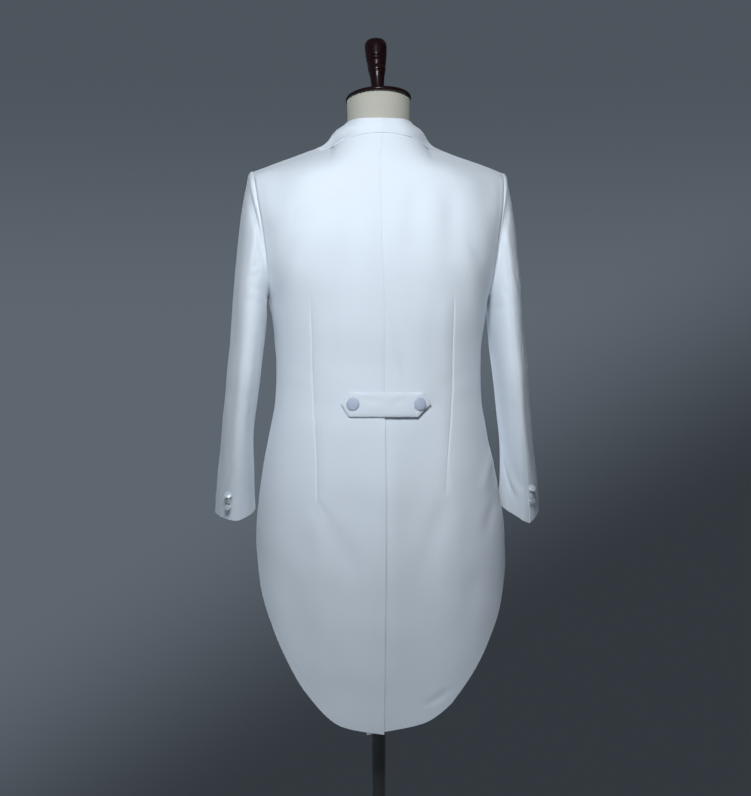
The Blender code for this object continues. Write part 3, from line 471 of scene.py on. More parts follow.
# On a sleeve the folds are placed by the distance round from the hind seam, towards the outside, and height.
SLEEVE_FOLDS = {
    1: (
        (-0.0300, 1.302, 0.0120, 1.286, 0.0035, -0.0013, 0.002, 0.5),
        (-0.0250, 1.280, 0.0180, 1.268, 0.0040, -0.0012, 0.003, 0.6),
        (-0.0400, 1.246, 0.0100, 1.256, 0.0050, -0.0010, 0.003, 0.6),
        (-0.0450, 1.222, 0.0300, 1.240, 0.0060, -0.0008, 0.004, 0.5),
        (-0.0600, 1.080, 0.0100, 1.050, 0.0100, -0.0007, 0.005, 0.4),
        (-0.0600, 1.040, 0.0150, 1.028, 0.0090, -0.0006, 0.004, 0.5),
        (-0.0500, 1.000, 0.0200, 1.012, 0.0090, -0.0005, 0.004, 0.5),
        (0.0300, 1.190, 0.0200, 0.880, 0.0130, -0.0012, 0.004, 0.4),
        (0.0600, 1.300, 0.0550, 1.100, 0.0130, -0.0014, 0.004, 0.4),
        (-0.0250, 1.160, -0.0200, 0.900, 0.0100, -0.0014, 0.003, 0.4),
        (0.0150, 0.940, 0.0450, 0.880, 0.0070, -0.0010, 0.003, 0.5),
        (-0.0460, 1.060, -0.0440, 0.865, 0.0040, -0.0020, 0.002, 0.4),
    ),
    -1: (
        (-0.0300, 1.262, 0.0060, 1.232, 0.0035, -0.0010, 0.003, 0.5),
        (-0.0500, 1.215, 0.0250, 1.232, 0.0060, -0.0008, 0.004, 0.5),
        (0.0200, 1.290, 0.0450, 1.232, 0.0060, -0.0016, 0.003, 0.5),
        (-0.0600, 1.065, 0.0100, 1.035, 0.0090, -0.0006, 0.005, 0.4),
        (-0.0600, 1.030, 0.0150, 1.020, 0.0080, -0.0006, 0.004, 0.5),
        (0.0080, 1.150, 0.0060, 0.930, 0.0060, 0.0011, 0.002, 0.4),
        (-0.0120, 1.100, -0.0140, 0.890, 0.0080, -0.0016, 0.003, 0.4),
        (0.0300, 1.180, 0.0220, 0.900, 0.0130, -0.0011, 0.004, 0.4),
        (0.0600, 1.290, 0.0550, 1.090, 0.0130, -0.0012, 0.004, 0.4),
        (-0.0300, 0.960, -0.0080, 0.880, 0.0070, -0.0012, 0.003, 0.5),
        (-0.0620, 0.945, -0.0220, 0.872, 0.0045, -0.0020, 0.003, 0.4),
        (-0.0480, 0.950, -0.0120, 0.880, 0.0050, 0.0012, 0.003, 0.4),
    ),
}
BELT_FOLDS = (
    (0.0440, 1.0560, 0.0040, 1.0500, 0.0060, -0.0009, 0.002, 0.6),
    (-0.0150, 1.0480, -0.0440, 1.0600, 0.0065, -0.0009, 0.001, 0.5),
    (-0.0500, 1.0560, -0.0640, 1.0660, 0.0040, 0.0007, 0.001, 0.4),
    (0.0300, 1.0380, 0.0000, 1.0420, 0.0060, 0.0006, 0.002, 0.5),
    (-0.0480, 1.0380, -0.0560, 1.0300, 0.0030, -0.0006, 0.001, 0.4),
)


# ---- names and objects ---------------------------------------------------------------------------


def side_name(side):
    return "left" if side > 0 else "right"


def linked(name, data):
    """A new object in the scene."""
    made = bpy.data.objects.new(name, data)
    bpy.context.scene.collection.objects.link(made)
    return made


def finished_mesh(name, shape, material):
    """The mesh of a finished bmesh, with its material."""
    mesh = bpy.data.meshes.new(name)
    shape.to_mesh(mesh)
    shape.free()
    mesh.materials.append(material)
    return mesh


# ---- curves --------------------------------------------------------------------------------------


def hermite(start, leave, end, arrive, t):
    """A cubic from start to end that leaves and arrives along two directions."""
    return (
        start * (2 * t**3 - 3 * t**2 + 1)
        + leave * (t**3 - 2 * t**2 + t)
        + end * (3 * t**2 - 2 * t**3)
        + arrive * (t**3 - t**2)
    )


def bezier(start, first, second, end, t):
    """A cubic from start to end, drawn towards two guides."""
    s = 1 - t
    return start * s**3 + first * (3 * s**2 * t) + second * (3 * s * t**2) + end * t**3


def ease(value, start, stop):
    """0 at start, 1 at stop, smooth between and level beyond."""
    t = np.clip((value - start) / (stop - start), 0.0, 1.0)
    return t * t * (3 - 2 * t)


def table_curve(table):
    """A function that gives a table's other columns at any values of its first, with no overshoot."""
    rows = np.array(sorted(table), float)
    knots = rows[:, 0]
    values = rows[:, 1:]
    steps = np.diff(knots)
    slopes = np.diff(values, axis=0) / steps[:, None]
    tangents = np.zeros_like(values)
    tangents[0] = slopes[0]
    tangents[-1] = slopes[-1]
    for i in range(1, len(knots) - 1):
        same = slopes[i - 1] * slopes[i] > 0
        before = 2 * steps[i] + steps[i - 1]
        after = steps[i] + 2 * steps[i - 1]
        weighed = before / slopes[i - 1][same] + after / slopes[i][same]
        tangents[i][same] = (before + after) / weighed

    def at(place):
        place = np.clip(place, knots[0], knots[-1])
        i = np.clip(np.searchsorted(knots, place) - 1, 0, len(steps) - 1)
        t = ((place - knots[i]) / steps[i])[..., None]
        gap = steps[i][..., None]
        curve = hermite(values[i], tangents[i] * gap, values[i + 1], tangents[i + 1] * gap, t)
        return np.moveaxis(curve, -1, 0)

    return at


def level_ring(row, centre):
    """A level ring of the body as a row of the back's or the front's table."""
    height, back_y, side_x, side_y, front_y, full = row
    if centre == "back":
        return (height, back_y, side_x, side_y, height, 90, full, full - SIDE_ROUND)
    return (height, front_y, side_x, side_y, height, 90, full - SIDE_ROUND, full)


back_ring = table_curve(YOKE_BACK + tuple(level_ring(row, "back") for row in TORSO))
front_ring = table_curve(YOKE_FRONT + tuple(level_ring(row, "front") for row in TORSO))
hem_height = table_curve(HEM)
sleeve_ring = table_curve(SLEEVE)
lapel_width = table_curve(LAPEL_WIDTH)
lapel_top = table_curve(LAPEL_TOP)
collar_guides = table_curve(COLLAR)


def joined(x, y, z):
    """Points from their three coordinates."""
    return np.stack(np.broadcast_arrays(x, y, z), axis=-1)


def unit(vectors):
    """Vectors of length 1 along others."""
    return vectors / np.maximum(np.linalg.norm(vectors, axis=-1, keepdims=True), 1e-12)


def hem_at(side, degrees):
    """The hem's height on one side of the coat, by degrees from the centre back."""
    left, right = hem_height(degrees)
    return left if side > 0 else right


# ---- surfaces of the left half -------------------------------------------------------------------


def back_plain(share, level):
    """The back from the centre (0) to the armhole or the side seam (1), before the neckline bends it."""
    centre_y, edge_x, edge_y, edge_z, turn, flat, rounding = back_ring(level)
    turn = np.radians(turn)
    reach = rounding * (np.abs(np.cos(turn)) * edge_x + np.abs(np.sin(turn)) * (centre_y - edge_y))
    start = joined(0, centre_y, level)
    first = joined(flat * edge_x, centre_y, level)
    guide_z = edge_z + 0.45 * (level - edge_z)
    second = joined(edge_x - np.cos(turn) * reach, edge_y + np.sin(turn) * reach, guide_z)
    end = joined(edge_x, edge_y, edge_z)
    return bezier(start, first, second, end, share[..., None])


def back_top_edge(share):
    """The neckline from the centre back, and then the shoulder seam."""
    turn = np.pi / 2 * np.minimum(share / NECK_SHARE, 1)[..., None]
    rise = NECK_BACK - NECK_POINT
    neckline = NECK_POINT * (1, 0, 0) * np.sin(turn) + rise * (0, 1, 1) * np.cos(turn)
    neckline = neckline + NECK_POINT * (0, 1, 1)
    along = (np.maximum(share - NECK_SHARE, 0) / (1 - NECK_SHARE))[..., None]
    shoulder = NECK_POINT + (SHOULDER_TIP - NECK_POINT) * along
    return np.where(share[..., None] > NECK_SHARE, shoulder, neckline)


def back_surface(share, level):
    """The back, bent to the neckline and the shoulder seam at its top."""
    share, level = np.broadcast_arrays(np.asarray(share, float), np.asarray(level, float))
    bend = (ease(level, YOKE_EASE, NECK_BACK[2]) ** 2)[..., None]
    moved = back_top_edge(share) - back_plain(share, np.full_like(level, NECK_BACK[2]))
    return back_plain(share, level) + moved * bend


def roll_line_x(level):
    """The front edge: upright below the break, and leaning out to the neck above it."""
    return np.maximum(0.0, level - BREAK_Z) * ROLL_LEAN - FRONT_LAP


def front_surface(share, level):
    """The front from the armhole or the side seam (0) to the roll line or the front edge (1)."""
    share, level = np.broadcast_arrays(np.asarray(share, float), np.asarray(level, float))
    front_y, edge_x, edge_y, edge_z, turn, rounding, flat = front_ring(level)
    turn = np.radians(turn)
    start = joined(edge_x, edge_y, edge_z)
    end_x = roll_line_x(level)
    end = joined(end_x, front_y, level)
    across = edge_x - end_x
    reach = rounding * (np.abs(np.cos(turn)) * across + np.abs(np.sin(turn)) * (edge_y - front_y))
    guide_z = edge_z + (level - edge_z) / 3
    first = joined(edge_x + np.cos(turn) * reach, edge_y - np.sin(turn) * reach, guide_z)
    second = joined(end_x + flat * across, front_y, edge_z + (level - edge_z) * 2 / 3)
    return bezier(start, first, second, end, share[..., None])


def front_level(share, height):
    """The level whose ring passes through a height at a share of the front."""
    low = height - 0.001
    high = np.minimum(height + 0.09, NECK_POINT[2])
    for _ in range(24):
        middle = (low + high) / 2
        below = front_surface(share, middle)[..., 2] < height
        low = np.where(below, middle, low)
        high = np.where(below, high, middle)
    return low


def normals_of(surface, share, level, outward):
    """Unit normals of a surface, on the side that a direction points to."""
    step = 0.004
    low = np.maximum(share - step, 0.0)
    high = np.minimum(share + step, 1.0)
    across = surface(high, level) - surface(low, level)
    down = surface(share, level - step) - surface(share, level + step)
    normal = unit(np.cross(across, down))
    return normal * np.where((normal * outward).sum(axis=-1, keepdims=True) < 0, -1, 1)


def edge_measure(edge, top, bottom):
    """The length of an edge between two levels, and a function from a distance down it to its level."""
    levels = np.linspace(top, bottom, 800)
    steps = np.linalg.norm(np.diff(edge(levels), axis=0), axis=1)
    travel = np.concatenate([[0], np.cumsum(steps)])
    return travel[-1], lambda distance: np.interp(distance, travel, levels)


BACK_ARMHOLE, back_armhole_level = edge_measure(lambda z: back_surface(1.0, z), NECK_BACK[2], ARMPIT)
FRONT_ARMHOLE, front_armhole_level = edge_measure(lambda z: front_surface(0.0, z), NECK_POINT[2], ARMPIT)


# ---- folds ---------------------------------------------------------------------------------------


def pressed(across, height, folds):
    """The height of a set of soft folds over a panel."""
    total = np.zeros_like(across)
    for x, z, to_x, to_z, width, depth, bow, flare in folds:
        run = math.hypot(to_x - x, to_z - z)
        step_x, step_z = (to_x - x) / run, (to_z - z) / run
        along = ((across - x) * step_x + (height - z) * step_z) / run
        aside = (across - x) * step_z - (height - z) * step_x
        inside = np.clip(along, 0, 1)
        aside = aside - bow * 4 * inside * (1 - inside)
        spread = width * (1 + flare * inside)
        taper = ease(along, -0.18, 0.30) * (1 - ease(along, 0.62, 1.15))
        total += depth * taper * (ridge(aside, spread, 1.0) - ridge(aside, 2 * spread, 0.35))
    return total


def lumps(across, height, size, depth, seed):
    """A gentle unevenness with bumps of about a size."""
    chance = np.random.default_rng(seed)
    total = np.zeros_like(across)
    for _ in range(9):
        heading = chance.uniform(0, math.pi)
        wave = 2 * math.pi / (size * chance.uniform(0.7, 1.8))
        start = chance.uniform(0, 2 * math.pi)
        total += np.sin((across * math.cos(heading) + height * math.sin(heading)) * wave + start)
    return total * depth / 3


def ridge(distance, width, height):
    """A soft ridge along a line, by the distance from it."""
    return height * np.exp(-((distance / width) ** 2))


def groove(distance, width, depth):
    """A soft trough along a line."""
    return -ridge(distance, width, depth)


# ---- cloth meshes --------------------------------------------------------------------------------


def rows_down(yoke, tail, counts):
    """Distances down the yoke and shares down the part below it: fine steps at the top and the hem only."""
    above = spread_row([0, yoke], counts[:1])
    above = above[(above < yoke - 0.006) | (above == yoke)]
    below = spread_row([0, tail], counts[1:])
    return above, below[below > 0.0055] / tail


def panel_rows(armhole, armhole_level, tail, counts):
    """For each row down a panel: its level beside the armhole, and its share of the way to the hem."""
    down, drops = rows_down(armhole, tail, counts)
    yoke = armhole_level(down)
    levels = np.concatenate([yoke, np.full(len(drops), ARMPIT)])[:, None]
    return levels, np.concatenate([np.zeros(len(yoke)), drops])[:, None]


def softened(points, keep, height, reach, passes):
    """Evens out a grid up and down its columns around a height; keep is 0 where it must not move."""
    weight = 0.5 * keep * np.exp(-(((points[..., 2] - height) / reach) ** 2))
    for _ in range(passes):
        between = (points[:-2] + points[2:]) / 2
        points[1:-1] += (between - points[1:-1]) * weight[1:-1, :, None]
    return points


def spread_row(stops, counts):
    """Distances along a row: fine steps beside each stop and even steps between."""
    fine = np.array(FINE_STEPS)
    places = []
    for start, stop, count in zip(stops, stops[1:], counts):
        near = fine * min(1.0, 0.3 * (stop - start) / fine[-1])
        middle = np.linspace(start + near[-1], stop - near[-1], count + 1)[1:-1]
        places += [start + near, middle, stop - near[:0:-1]]
    return np.concatenate([*places, [stops[-1]]])


def spread_shares(length, count):
    """The same for a row with no stop between its ends, as shares of its length."""
    return spread_row([0, length], [count]) / length


def grid_normals(points, outward):
    """Unit normals over a grid of points, on the side that a direction or a set of them points to."""
    across = np.gradient(points, axis=1)
    down = np.gradient(points, axis=0)
    normal = unit(np.cross(across, down))
    flip = np.sign((normal * outward).sum())
    return normal * flip, flip


def travelled(points, axis):
    """How far each point of a grid is along its row or column."""
    steps = np.linalg.norm(np.diff(points, axis=axis), axis=-1)
    start = np.zeros_like(np.take(steps, [0], axis=axis))
    return np.concatenate([start, np.cumsum(steps, axis=axis)], axis=axis)


def grid_object(name, points, flip, uv, material):
    """An open sheet of quads over a grid of points, with a UV map in metres."""
    rows, columns = points.shape[:2]
    index = np.arange(rows * columns).reshape(rows, columns)
    corners = [index[:-1, :-1], index[:-1, 1:], index[1:, 1:], index[1:, :-1]]
    if flip < 0:
        corners.reverse()
    faces = np.stack(corners, axis=-1).reshape(-1, 4)
    mesh = bpy.data.meshes.new(name)
    mesh.from_pydata(points.reshape(-1, 3).tolist(), [], faces.tolist())
    layer = mesh.uv_layers.new(name="Cloth")
    layer.data.foreach_set("uv", uv.reshape(-1, 2)[faces.ravel()].astype(np.float32).ravel())
    mesh.materials.append(material)
    mesh.shade_smooth()
    return linked(name, mesh)


def cloth(name, points, outward, uv, wall, material, relief=None):
    """A wall of cloth whose outer face is a grid of points, with a relief pressed into it.

    The grid's own faces point inwards, so the wall grows inwards from it, and its outer faces point outwards.
    """
    normal, flip = grid_normals(points, outward)
    if relief is not None:
        points = points + normal * relief[..., None]
    piece = grid_object(name, points, -flip, uv, material)
    solid = piece.modifiers.new("Wall", "SOLIDIFY")
    solid.thickness = wall
    solid.offset = 1
    edge = piece.modifiers.new("Pressed edge", "BEVEL")
    edge.width = EDGE_ROUND
    edge.segments = 2
    edge.limit_method = "ANGLE"
    edge.angle_limit = math.radians(55)
    edge.use_clamp_overlap = True
    return piece


def laid_on(points, pieces, gap, weight, passes):
    """Moves a grid of points to a gap above finished pieces; passes even the move out along its rows."""
    depsgraph = bpy.context.evaluated_depsgraph_get()
    trees = [BVHTree.FromObject(bpy.data.objects[name], depsgraph) for name in pieces]
    move = np.zeros_like(points)
    for index in np.ndindex(weight.shape):
        if weight[index] > 0:
            place = Vector(points[index])
            found = [tree.find_nearest(place) for tree in trees]
            spot, normal, _, _ = min(found, key=lambda nearest: nearest[3])
            move[index] = np.array(spot + normal * gap) - points[index]
    for _ in range(passes):
        move[:, 1:-1] = (move[:, :-2] + 2 * move[:, 1:-1] + move[:, 2:]) / 4
    return points + move * weight[..., None]


def placed(piece, node):
    """Hangs a finished piece on the root body and hides the frame's parts that it stands for."""
    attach(piece, "root")
    nodes = [node] if isinstance(node, str) else node
    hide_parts(*nodes)
    return piece


def plain_mesh(name, maker, material):
    """Turns an object with live modifiers into a plain mesh piece."""
    made = maker.evaluated_get(bpy.context.evaluated_depsgraph_get())
    mesh = bpy.data.meshes.new_from_object(made)
    mesh.name = name
    old = maker.data
    bpy.data.objects.remove(maker)
    bpy.data.meshes.remove(old)
    mesh.materials.clear()
    mesh.materials.append(material)
    return linked(name, mesh)


# ---- coat pieces ---------------------------------------------------------------------------------


def shares_on_rows(surface, counts, rows, stop_at=None):
    """Shares across a panel, row by row, spread by distance. surface(share, row) gives its points.

    stop_at(distances, points) gives a stop between the two edges, beside which the steps are fine too.
    """
    samples = 260
    shares = np.linspace(0, 1, samples)
    fine = surface(np.broadcast_to(shares, (rows, samples)), np.arange(rows)[:, None])
    result = []
    for travel, points in zip(travelled(fine, 1), fine):
        stops = [0, travel[-1]]
        if stop_at:
            stops.insert(1, stop_at(travel, points))
        result.append(np.interp(spread_row(stops, counts), travel, shares))
    return np.array(result)


def drift_at(height):
    """How far the coat hangs aside at a height."""
    return TAIL_DRIFT * ease(height, DRIFT_TOP, DRIFT_BOTTOM)


def dart_line(side, height):
    """How far across a back its waist dart is at a height."""
    line = np.array(DARTS[side])[::-1]
    return np.interp(height, line[:, 1], line[:, 0])


def dart_relief(side, across, height):
    """The sewn line of a waist dart and the cloth that it draws in, tapering out at both ends."""
    line = DARTS[side]
    sewn = ease(height, line[-1][1] - 0.002, line[-1][1] + 0.010)
    sewn = sewn * (1 - ease(height, line[0][1] - 0.060, line[0][1]))
    aside = across - dart_line(side, height)
    line_depth = groove(aside, DART_LINE, DART_DEPTH[side])
    drawn_in = groove(aside, DART_DRAW, DART_DEPTH[side] * 1.2) + ridge(aside - 0.004, 0.003, 0.0005)
    return (line_depth + drawn_in) * sewn


def build_back(side, settings, material):
    """A half back with its tail, its waist dart and its edge of the vent."""
    levels, drops = panel_rows(BACK_ARMHOLE, back_armhole_level, 0.765, [58, 170])

    def surface(share, row):
        hem = hem_at(side, 90 * share)
        return back_surface(share, levels[row][..., 0] + (hem - ARMPIT) * drops[row][..., 0])

    def at_dart(travel, points):
        across = dart_line(side, points[:, 2]) - side * drift_at(points[:, 2])
        return float(np.interp(0, points[:, 0] - across, travel))

    rows = len(levels)
    share = shares_on_rows(surface, [26, 22], rows, at_dart)
    points = surface(share, np.arange(rows)[:, None])
    width = travelled(points, 1)
    keep = ease(width[:, -1:] - width, 0.0, 0.03)
    points = softened(points, keep, ARMPIT, 0.055, 220)
    x, y, z = np.moveaxis(points, -1, 0)
    if side < 0:
        x = x - ease(z, LAP_START, VENT_TOP) * VENT_LAP * np.maximum(0.0, 1 - share / 0.35)
        y = y - ease(z, SET_IN_START, VENT_TOP) * (1 - ease(share, 0.06, 0.40)) * VENT_SET_IN
    x = side * (x + SEAM_GAP / 2 * (1 - share)) + drift_at(z)
    wander = SEAM_WANDER * ease(z, 1.15, 1.38) * (1 - ease(z, 1.47, 1.53))
    x = x + (wander + VENT_LEAN * ease(z, 1.0, 0.75)) * (1 - ease(share, 0.0, 0.45))
    y = y + SEAM_GAP
    points = joined(x, y, raised(x, z))
    width = travelled(points, 1)
    length = travelled(points, 0)[:, :1] + np.zeros_like(width)
    across = side * x
    from_edge = width[:, -1:] - width
    relief = pressed(across, z, BACK_FOLDS[side]) + lumps(x, z, 0.10, UNEVEN["back"], 3)
    relief = relief * settings.fold_depth * (1 - 0.6 * near_belt(x, z)) * ease(length, 0.0, 0.035)
    relief *= flat_at_armhole(from_edge, z)
    relief += dart_relief(side, across, z)
    sewn = ease(z, VENT_TOP - 0.02, VENT_TOP)
    drawn = 1.5 - 1.0 * ease(z, 1.12, 1.24)
    relief += (groove(width, *SEAM_LINE) + groove(width, *CENTRE_DRAW)) * sewn * drawn
    relief += groove(from_edge, *SEAM_LINE) * (z < ARMPIT)
    relief += armhole_relief(from_edge, z, ARMHOLE_RIDGE["back"])
    padded = ease(z, 1.34, 1.41) * ease(length, 0.0, 0.035)
    relief += ridge(from_edge - 0.018, 0.020, PAD_RIDGE) * padded
    puckers = 0.00018 * np.sin(length * 2 * math.pi / 0.013)
    relief += ridge(width, 0.006, puckers) * sewn
    relief += hem_relief(length[-1:] - length)
    if side > 0:
        opened = 0.0004 + 0.0008 * ease(z, 0.90, 0.97)
        relief += ridge(width, 0.008, opened) * (1 - ease(z, 1.0, 1.02))
    name = f"back_{side_name(side)}"
    uv = np.stack([width, -length], axis=-1)
    piece = cloth(f"{name}_cloth", points, joined(x, y, 0 * z), uv, SUITING, material, relief)
    return placed(piece, name)


def raised(x, z):
    """Heights with the padded shoulders lifted a little."""
    reach = np.abs(x)
    pad = np.where(x < 0, RIGHT_PAD, LEFT_PAD) * ease(reach, 0.13, 0.20)
    return z + ease(reach, 0.08, 0.13) * ease(z, 1.40, 1.46) * (SHOULDER_LIFT + pad)


def armhole_relief(from_edge, z, high):
    """The pressed armhole: a ridge beside the seam, which itself is drawn in."""
    shape = ridge(from_edge - 0.0055, 0.0032, high) + groove(from_edge, *ARMHOLE_LINE)
    return shape * ease(z, ARMPIT, 1.27) * (1 - ease(z, 1.44, 1.458))


def flat_at_armhole(from_edge, z):
    """0 along the armhole, where no fold runs into the seam, and 1 away from it."""
    return 1 - (1 - ease(from_edge, 0.0, 0.02)) * ease(z, ARMPIT - 0.03, ARMPIT + 0.03)


def near_belt(x, z):
    """1 under the half belt and 0 away from it, so that nothing stands out into it."""
    aside = np.maximum(np.abs(x - BELT_MIDDLE_X) - BELT_LENGTH / 2, 0)
    off = np.maximum(np.abs(z - BELT_Z) - BELT_HEIGHT / 2, 0)
    return 1 - ease(np.hypot(aside, off), 0.0, 0.02)


def hem_relief(from_hem):
    """The turned-up hem: a faint ridge along its top and a slightly thicker edge."""
    return ridge(from_hem - HEM_TURN, 0.0035, 0.00022) + 0.00015 * (1 - ease(from_hem, 0.0, HEM_TURN))


def to_shoulder_seam(points):
    """How far the top of a front moves to meet the edge of the back at the shoulder seam."""
    share = np.linspace(0.4, 1, 60)
    edge = back_surface(share, back_armhole_level(0 * share))
    x = points[:1, :, 0]
    target = joined(x, np.interp(x, edge[:, 0], edge[:, 1]), np.interp(x, edge[:, 0], edge[:, 2]))
    near = ease(x, NECK_POINT[0], edge[0, 0]) * (1 - ease(travelled(points, 0), 0.0, 0.05))
    return (target - points[:1]) * near[..., None]


def build_front(side, settings, material):
    """A front, from the side seam to the roll line and the front edge. The right one lies underneath."""
    levels, drops = panel_rows(FRONT_ARMHOLE, front_armhole_level, 0.24, [58, 56])

    def surface(share, row):
        hem = hem_at(side, 90 + 90 * share)
        return front_surface(share, levels[row][..., 0] + (hem - ARMPIT) * drops[row][..., 0])

    rows = len(levels)
    share = shares_on_rows(surface, [52], rows)
    points = surface(share, np.arange(rows)[:, None])
    width = travelled(points, 1)
    keep = ease(width, 0.0, 0.03) * ease(width[:, -1:] - width, 0.0, 0.02)
    points = softened(points, keep, ARMPIT, 0.055, 220)
    points = points + to_shoulder_seam(points)
    x, y, z = np.moveaxis(points, -1, 0)
    y = y - SEAM_GAP
    if side < 0:
        y = y + FRONT_SET_IN * ease(share, 0.35, 0.75) * ease(z, SET_IN_TOP, SET_IN_FULL)
    x = side * x + drift_at(z)
    points = joined(x, y, raised(x, z))
    width = travelled(points, 1)
    length = travelled(points, 0)
    across = side * x
    covered = 1 - ease(across - roll_line_x(z), 0.09, 0.12) * ease(z, 1.0, 1.01)
    covered = covered * ease(z, 1.07, 1.09)
    relief = pressed(across, z, FRONT_FOLDS[side]) + lumps(x, z, 0.09, UNEVEN["front"], 5)
    relief *= settings.fold_depth * (1 - covered) * (1 - ease(z, 1.49, 1.51)) * ease(length, 0.0, 0.03)
    relief *= flat_at_armhole(width, z)
    relief += groove(width, *SEAM_LINE) * (z < ARMPIT)
    relief += armhole_relief(width, z, ARMHOLE_RIDGE["front"])
    dart = groove(across - (0.104 - 0.10 * (1.12 - z) ** 2), *FRONT_DART)
    relief += dart * ease(z, 1.075, 1.10) * (1 - ease(z, 1.19, 1.23))
    name = f"front_{side_name(side)}"
    uv = np.stack([width, -length], axis=-1)
    piece = cloth(f"{name}_cloth", points, joined(x, y, 0 * z), uv, SUITING, material, relief)
    return placed(piece, name)


def lapel_place(side, share_out, up, lift=0.0):
    """Places on a lapel's outer face and the way out: share_out from its roll line, up from its foot."""
    foot = LAPEL_FOOT[side]
    height = foot + (lapel_top(share_out)[0] - foot) * up
    edge = front_surface(np.ones_like(height), height)
    width = lapel_width(up)[0] * share_out
    full = np.linalg.norm(front_surface(np.full_like(height, 0.5), height) - edge, axis=-1) * 2
    share = 1 - width / full
    level = front_level(share, height)
    ground = front_surface(share, level)
    normal = normals_of(front_surface, share, level, AHEAD)
    soft = ridge(width - 0.016, 0.013, 0.0022) * ease(up, 0.05, 0.3) * (1 - ease(up, 0.9, 1.0))
    place = ground + normal * (SUITING + LAID_GAP + soft + lift)[..., None]
    return side_front(side, place, height), normal * (side, 1, 1)


def side_front(side, place, height):
    """A place on the left front moved to the front of a side; the right one is set in."""
    x, y, z = np.moveaxis(place, -1, 0)
    y = y - SEAM_GAP
    if side < 0:
        y = y + FRONT_SET_IN * ease(height, SET_IN_TOP, SET_IN_FULL)
    return joined(side * x, y, z)


def build_lapel(side, settings, material):
    """A peaked lapel, turned back over the front along a soft roll."""
    name = f"lapel_{side_name(side)}"
    up = 1 - spread_shares(0.40, 88)[:, None]
    up, out = np.broadcast_arrays(up, spread_shares(0.08, 20)[None, :])
    flat, _ = lapel_place(side, out, up)
    height = LAPEL_FOOT[side] + (lapel_top(np.array(0.0))[0] - LAPEL_FOOT[side]) * up[:, :1]
    edge = front_surface(np.ones_like(height), height)
    facing = normals_of(front_surface, np.ones_like(height), height, AHEAD)
    turns = np.radians(np.linspace(-35, 78, 9))[None, :, None]
    half = (SUITING + LAID_GAP) / 2
    reach = (ROLL_OUT * ease(up[:, :1], -0.05, 0.15))[..., None]
    rolled = edge + facing * (half + half * np.sin(turns)) - np.array((1.0, 0, 0)) * reach * np.cos(turns)
    rolled = side_front(side, rolled, height + 0 * turns[..., 0])
    points = np.concatenate([rolled, flat], axis=1)
    width = travelled(points, 1)
    length = travelled(points, 0)
    uv = np.stack([width, length[:, :1] + 0 * width], axis=-1)
    relief = lumps(points[..., 0], points[..., 2], 0.07, UNEVEN["lapel"], 11) * settings.fold_depth
    relief[:, : rolled.shape[1] + 3] = 0
    piece = cloth(f"{name}_cloth", points, AHEAD, uv, SUITING, material, relief)
    return placed(piece, name)


def collar_lines(along):
    """The collar's foot, fold and edge at places from its right end (-1) to its left end (1)."""
    guides = collar_guides(np.abs(along))
    mirror = joined(np.sign(along), 1, 1)
    return [np.stack(guides[i : i + 3], axis=-1) * mirror for i in (0, 3, 6)]


def collar_place(along, row):
    """Places over the collar's outer face: row to 1 up its stand, to 2 over its fold, to 3 down its fall."""
    along, row = np.broadcast_arrays(along, row)
    foot, fold, edge = collar_lines(along)
    ahead, behind = collar_lines(np.minimum(along + 0.02, 1)), collar_lines(np.maximum(along - 0.02, -1))
    run = unit(ahead[1] - behind[1])
    outward = np.cross(run, UP)
    outward = unit(outward - run * (outward * run).sum(axis=-1, keepdims=True))
    outward = outward * np.where((outward * (edge - foot)).sum(axis=-1, keepdims=True) < 0, -1, 1)
    up = unit(np.cross(outward, run))
    up = up * np.where(up[..., 2:] < 0, -1, 1)
    turn = (math.pi * np.clip(row - 1, 0, 1))[..., None]
    arc = fold + (up * np.sin(turn) - outward * np.cos(turn)) * COLLAR_FOLD
    stand = foot + (fold - outward * COLLAR_FOLD - foot) * np.clip(row, 0, 1)[..., None]
    share = np.clip(row - 2, 0, 1)[..., None]
    start = fold + outward * COLLAR_FOLD
    beside = np.abs(along)[..., None]
    fuller = COLLAR_SIDE_BELLY * ease(beside, 0.30, 0.45) * (1 - ease(beside, 0.65, 0.85))
    belly = np.sin(math.pi * share) * COLLAR_BELLY + np.sin(math.pi * share**2) * fuller
    fall = start + (edge - start) * share + (outward * 0.6 + up * 0.8) * belly
    row = row[..., None]
    return np.where(row <= 1, stand, np.where(row <= 2, arc, fall))


def build_collar(material):
    """The folded collar: its stand round the neck, its fold, and its fall over the back and shoulders."""
    along = 2 * spread_shares(0.40, 118)[None, :] - 1
    stand = np.array([0, 0.03, 0.08, 0.18, 0.34, 0.50, 0.66, 0.82])
    arc = 1 + np.linspace(0, 1, 15)
    fall = 2 + spread_shares(0.028, 8)[len(FINE_STEPS) :]
    row = np.concatenate([stand, arc, fall])[:, None]
    points = collar_place(along, row)
    under = [f"{part}_{side}_cloth" for part in ("back", "front") for side in ("left", "right")]
    on_cloth = ease(row, 2.25, 3.0) + 0 * along
    for passes in (14, 8):
        points = laid_on(points, under, COLLAR_LIE, on_cloth, passes)
    width = travelled(points, 1)
    length = travelled(points, 0)
    middle = width[:, width.shape[1] // 2][:, None]
    uv = np.stack([width - middle, -length], axis=-1)
    on_fall = ease(row, 2.0, 2.3) + 0 * along
    around = along * 0.2 + 0 * row
    relief = lumps(around, length, 0.05, UNEVEN["collar"], 17) * on_fall
    for place, wide, depth in COLLAR_WRINKLES:
        relief += groove(around - place, wide, depth) * ease(row, 2.1, 2.5)
    middle_line = (points[:1] + points[len(stand) + 7 : len(stand) + 8] + points[-1:]) / 3
    piece = cloth("collar_cloth", points, points - middle_line, uv, COLLAR_WALL, material, relief)
    return placed(piece, "collar")


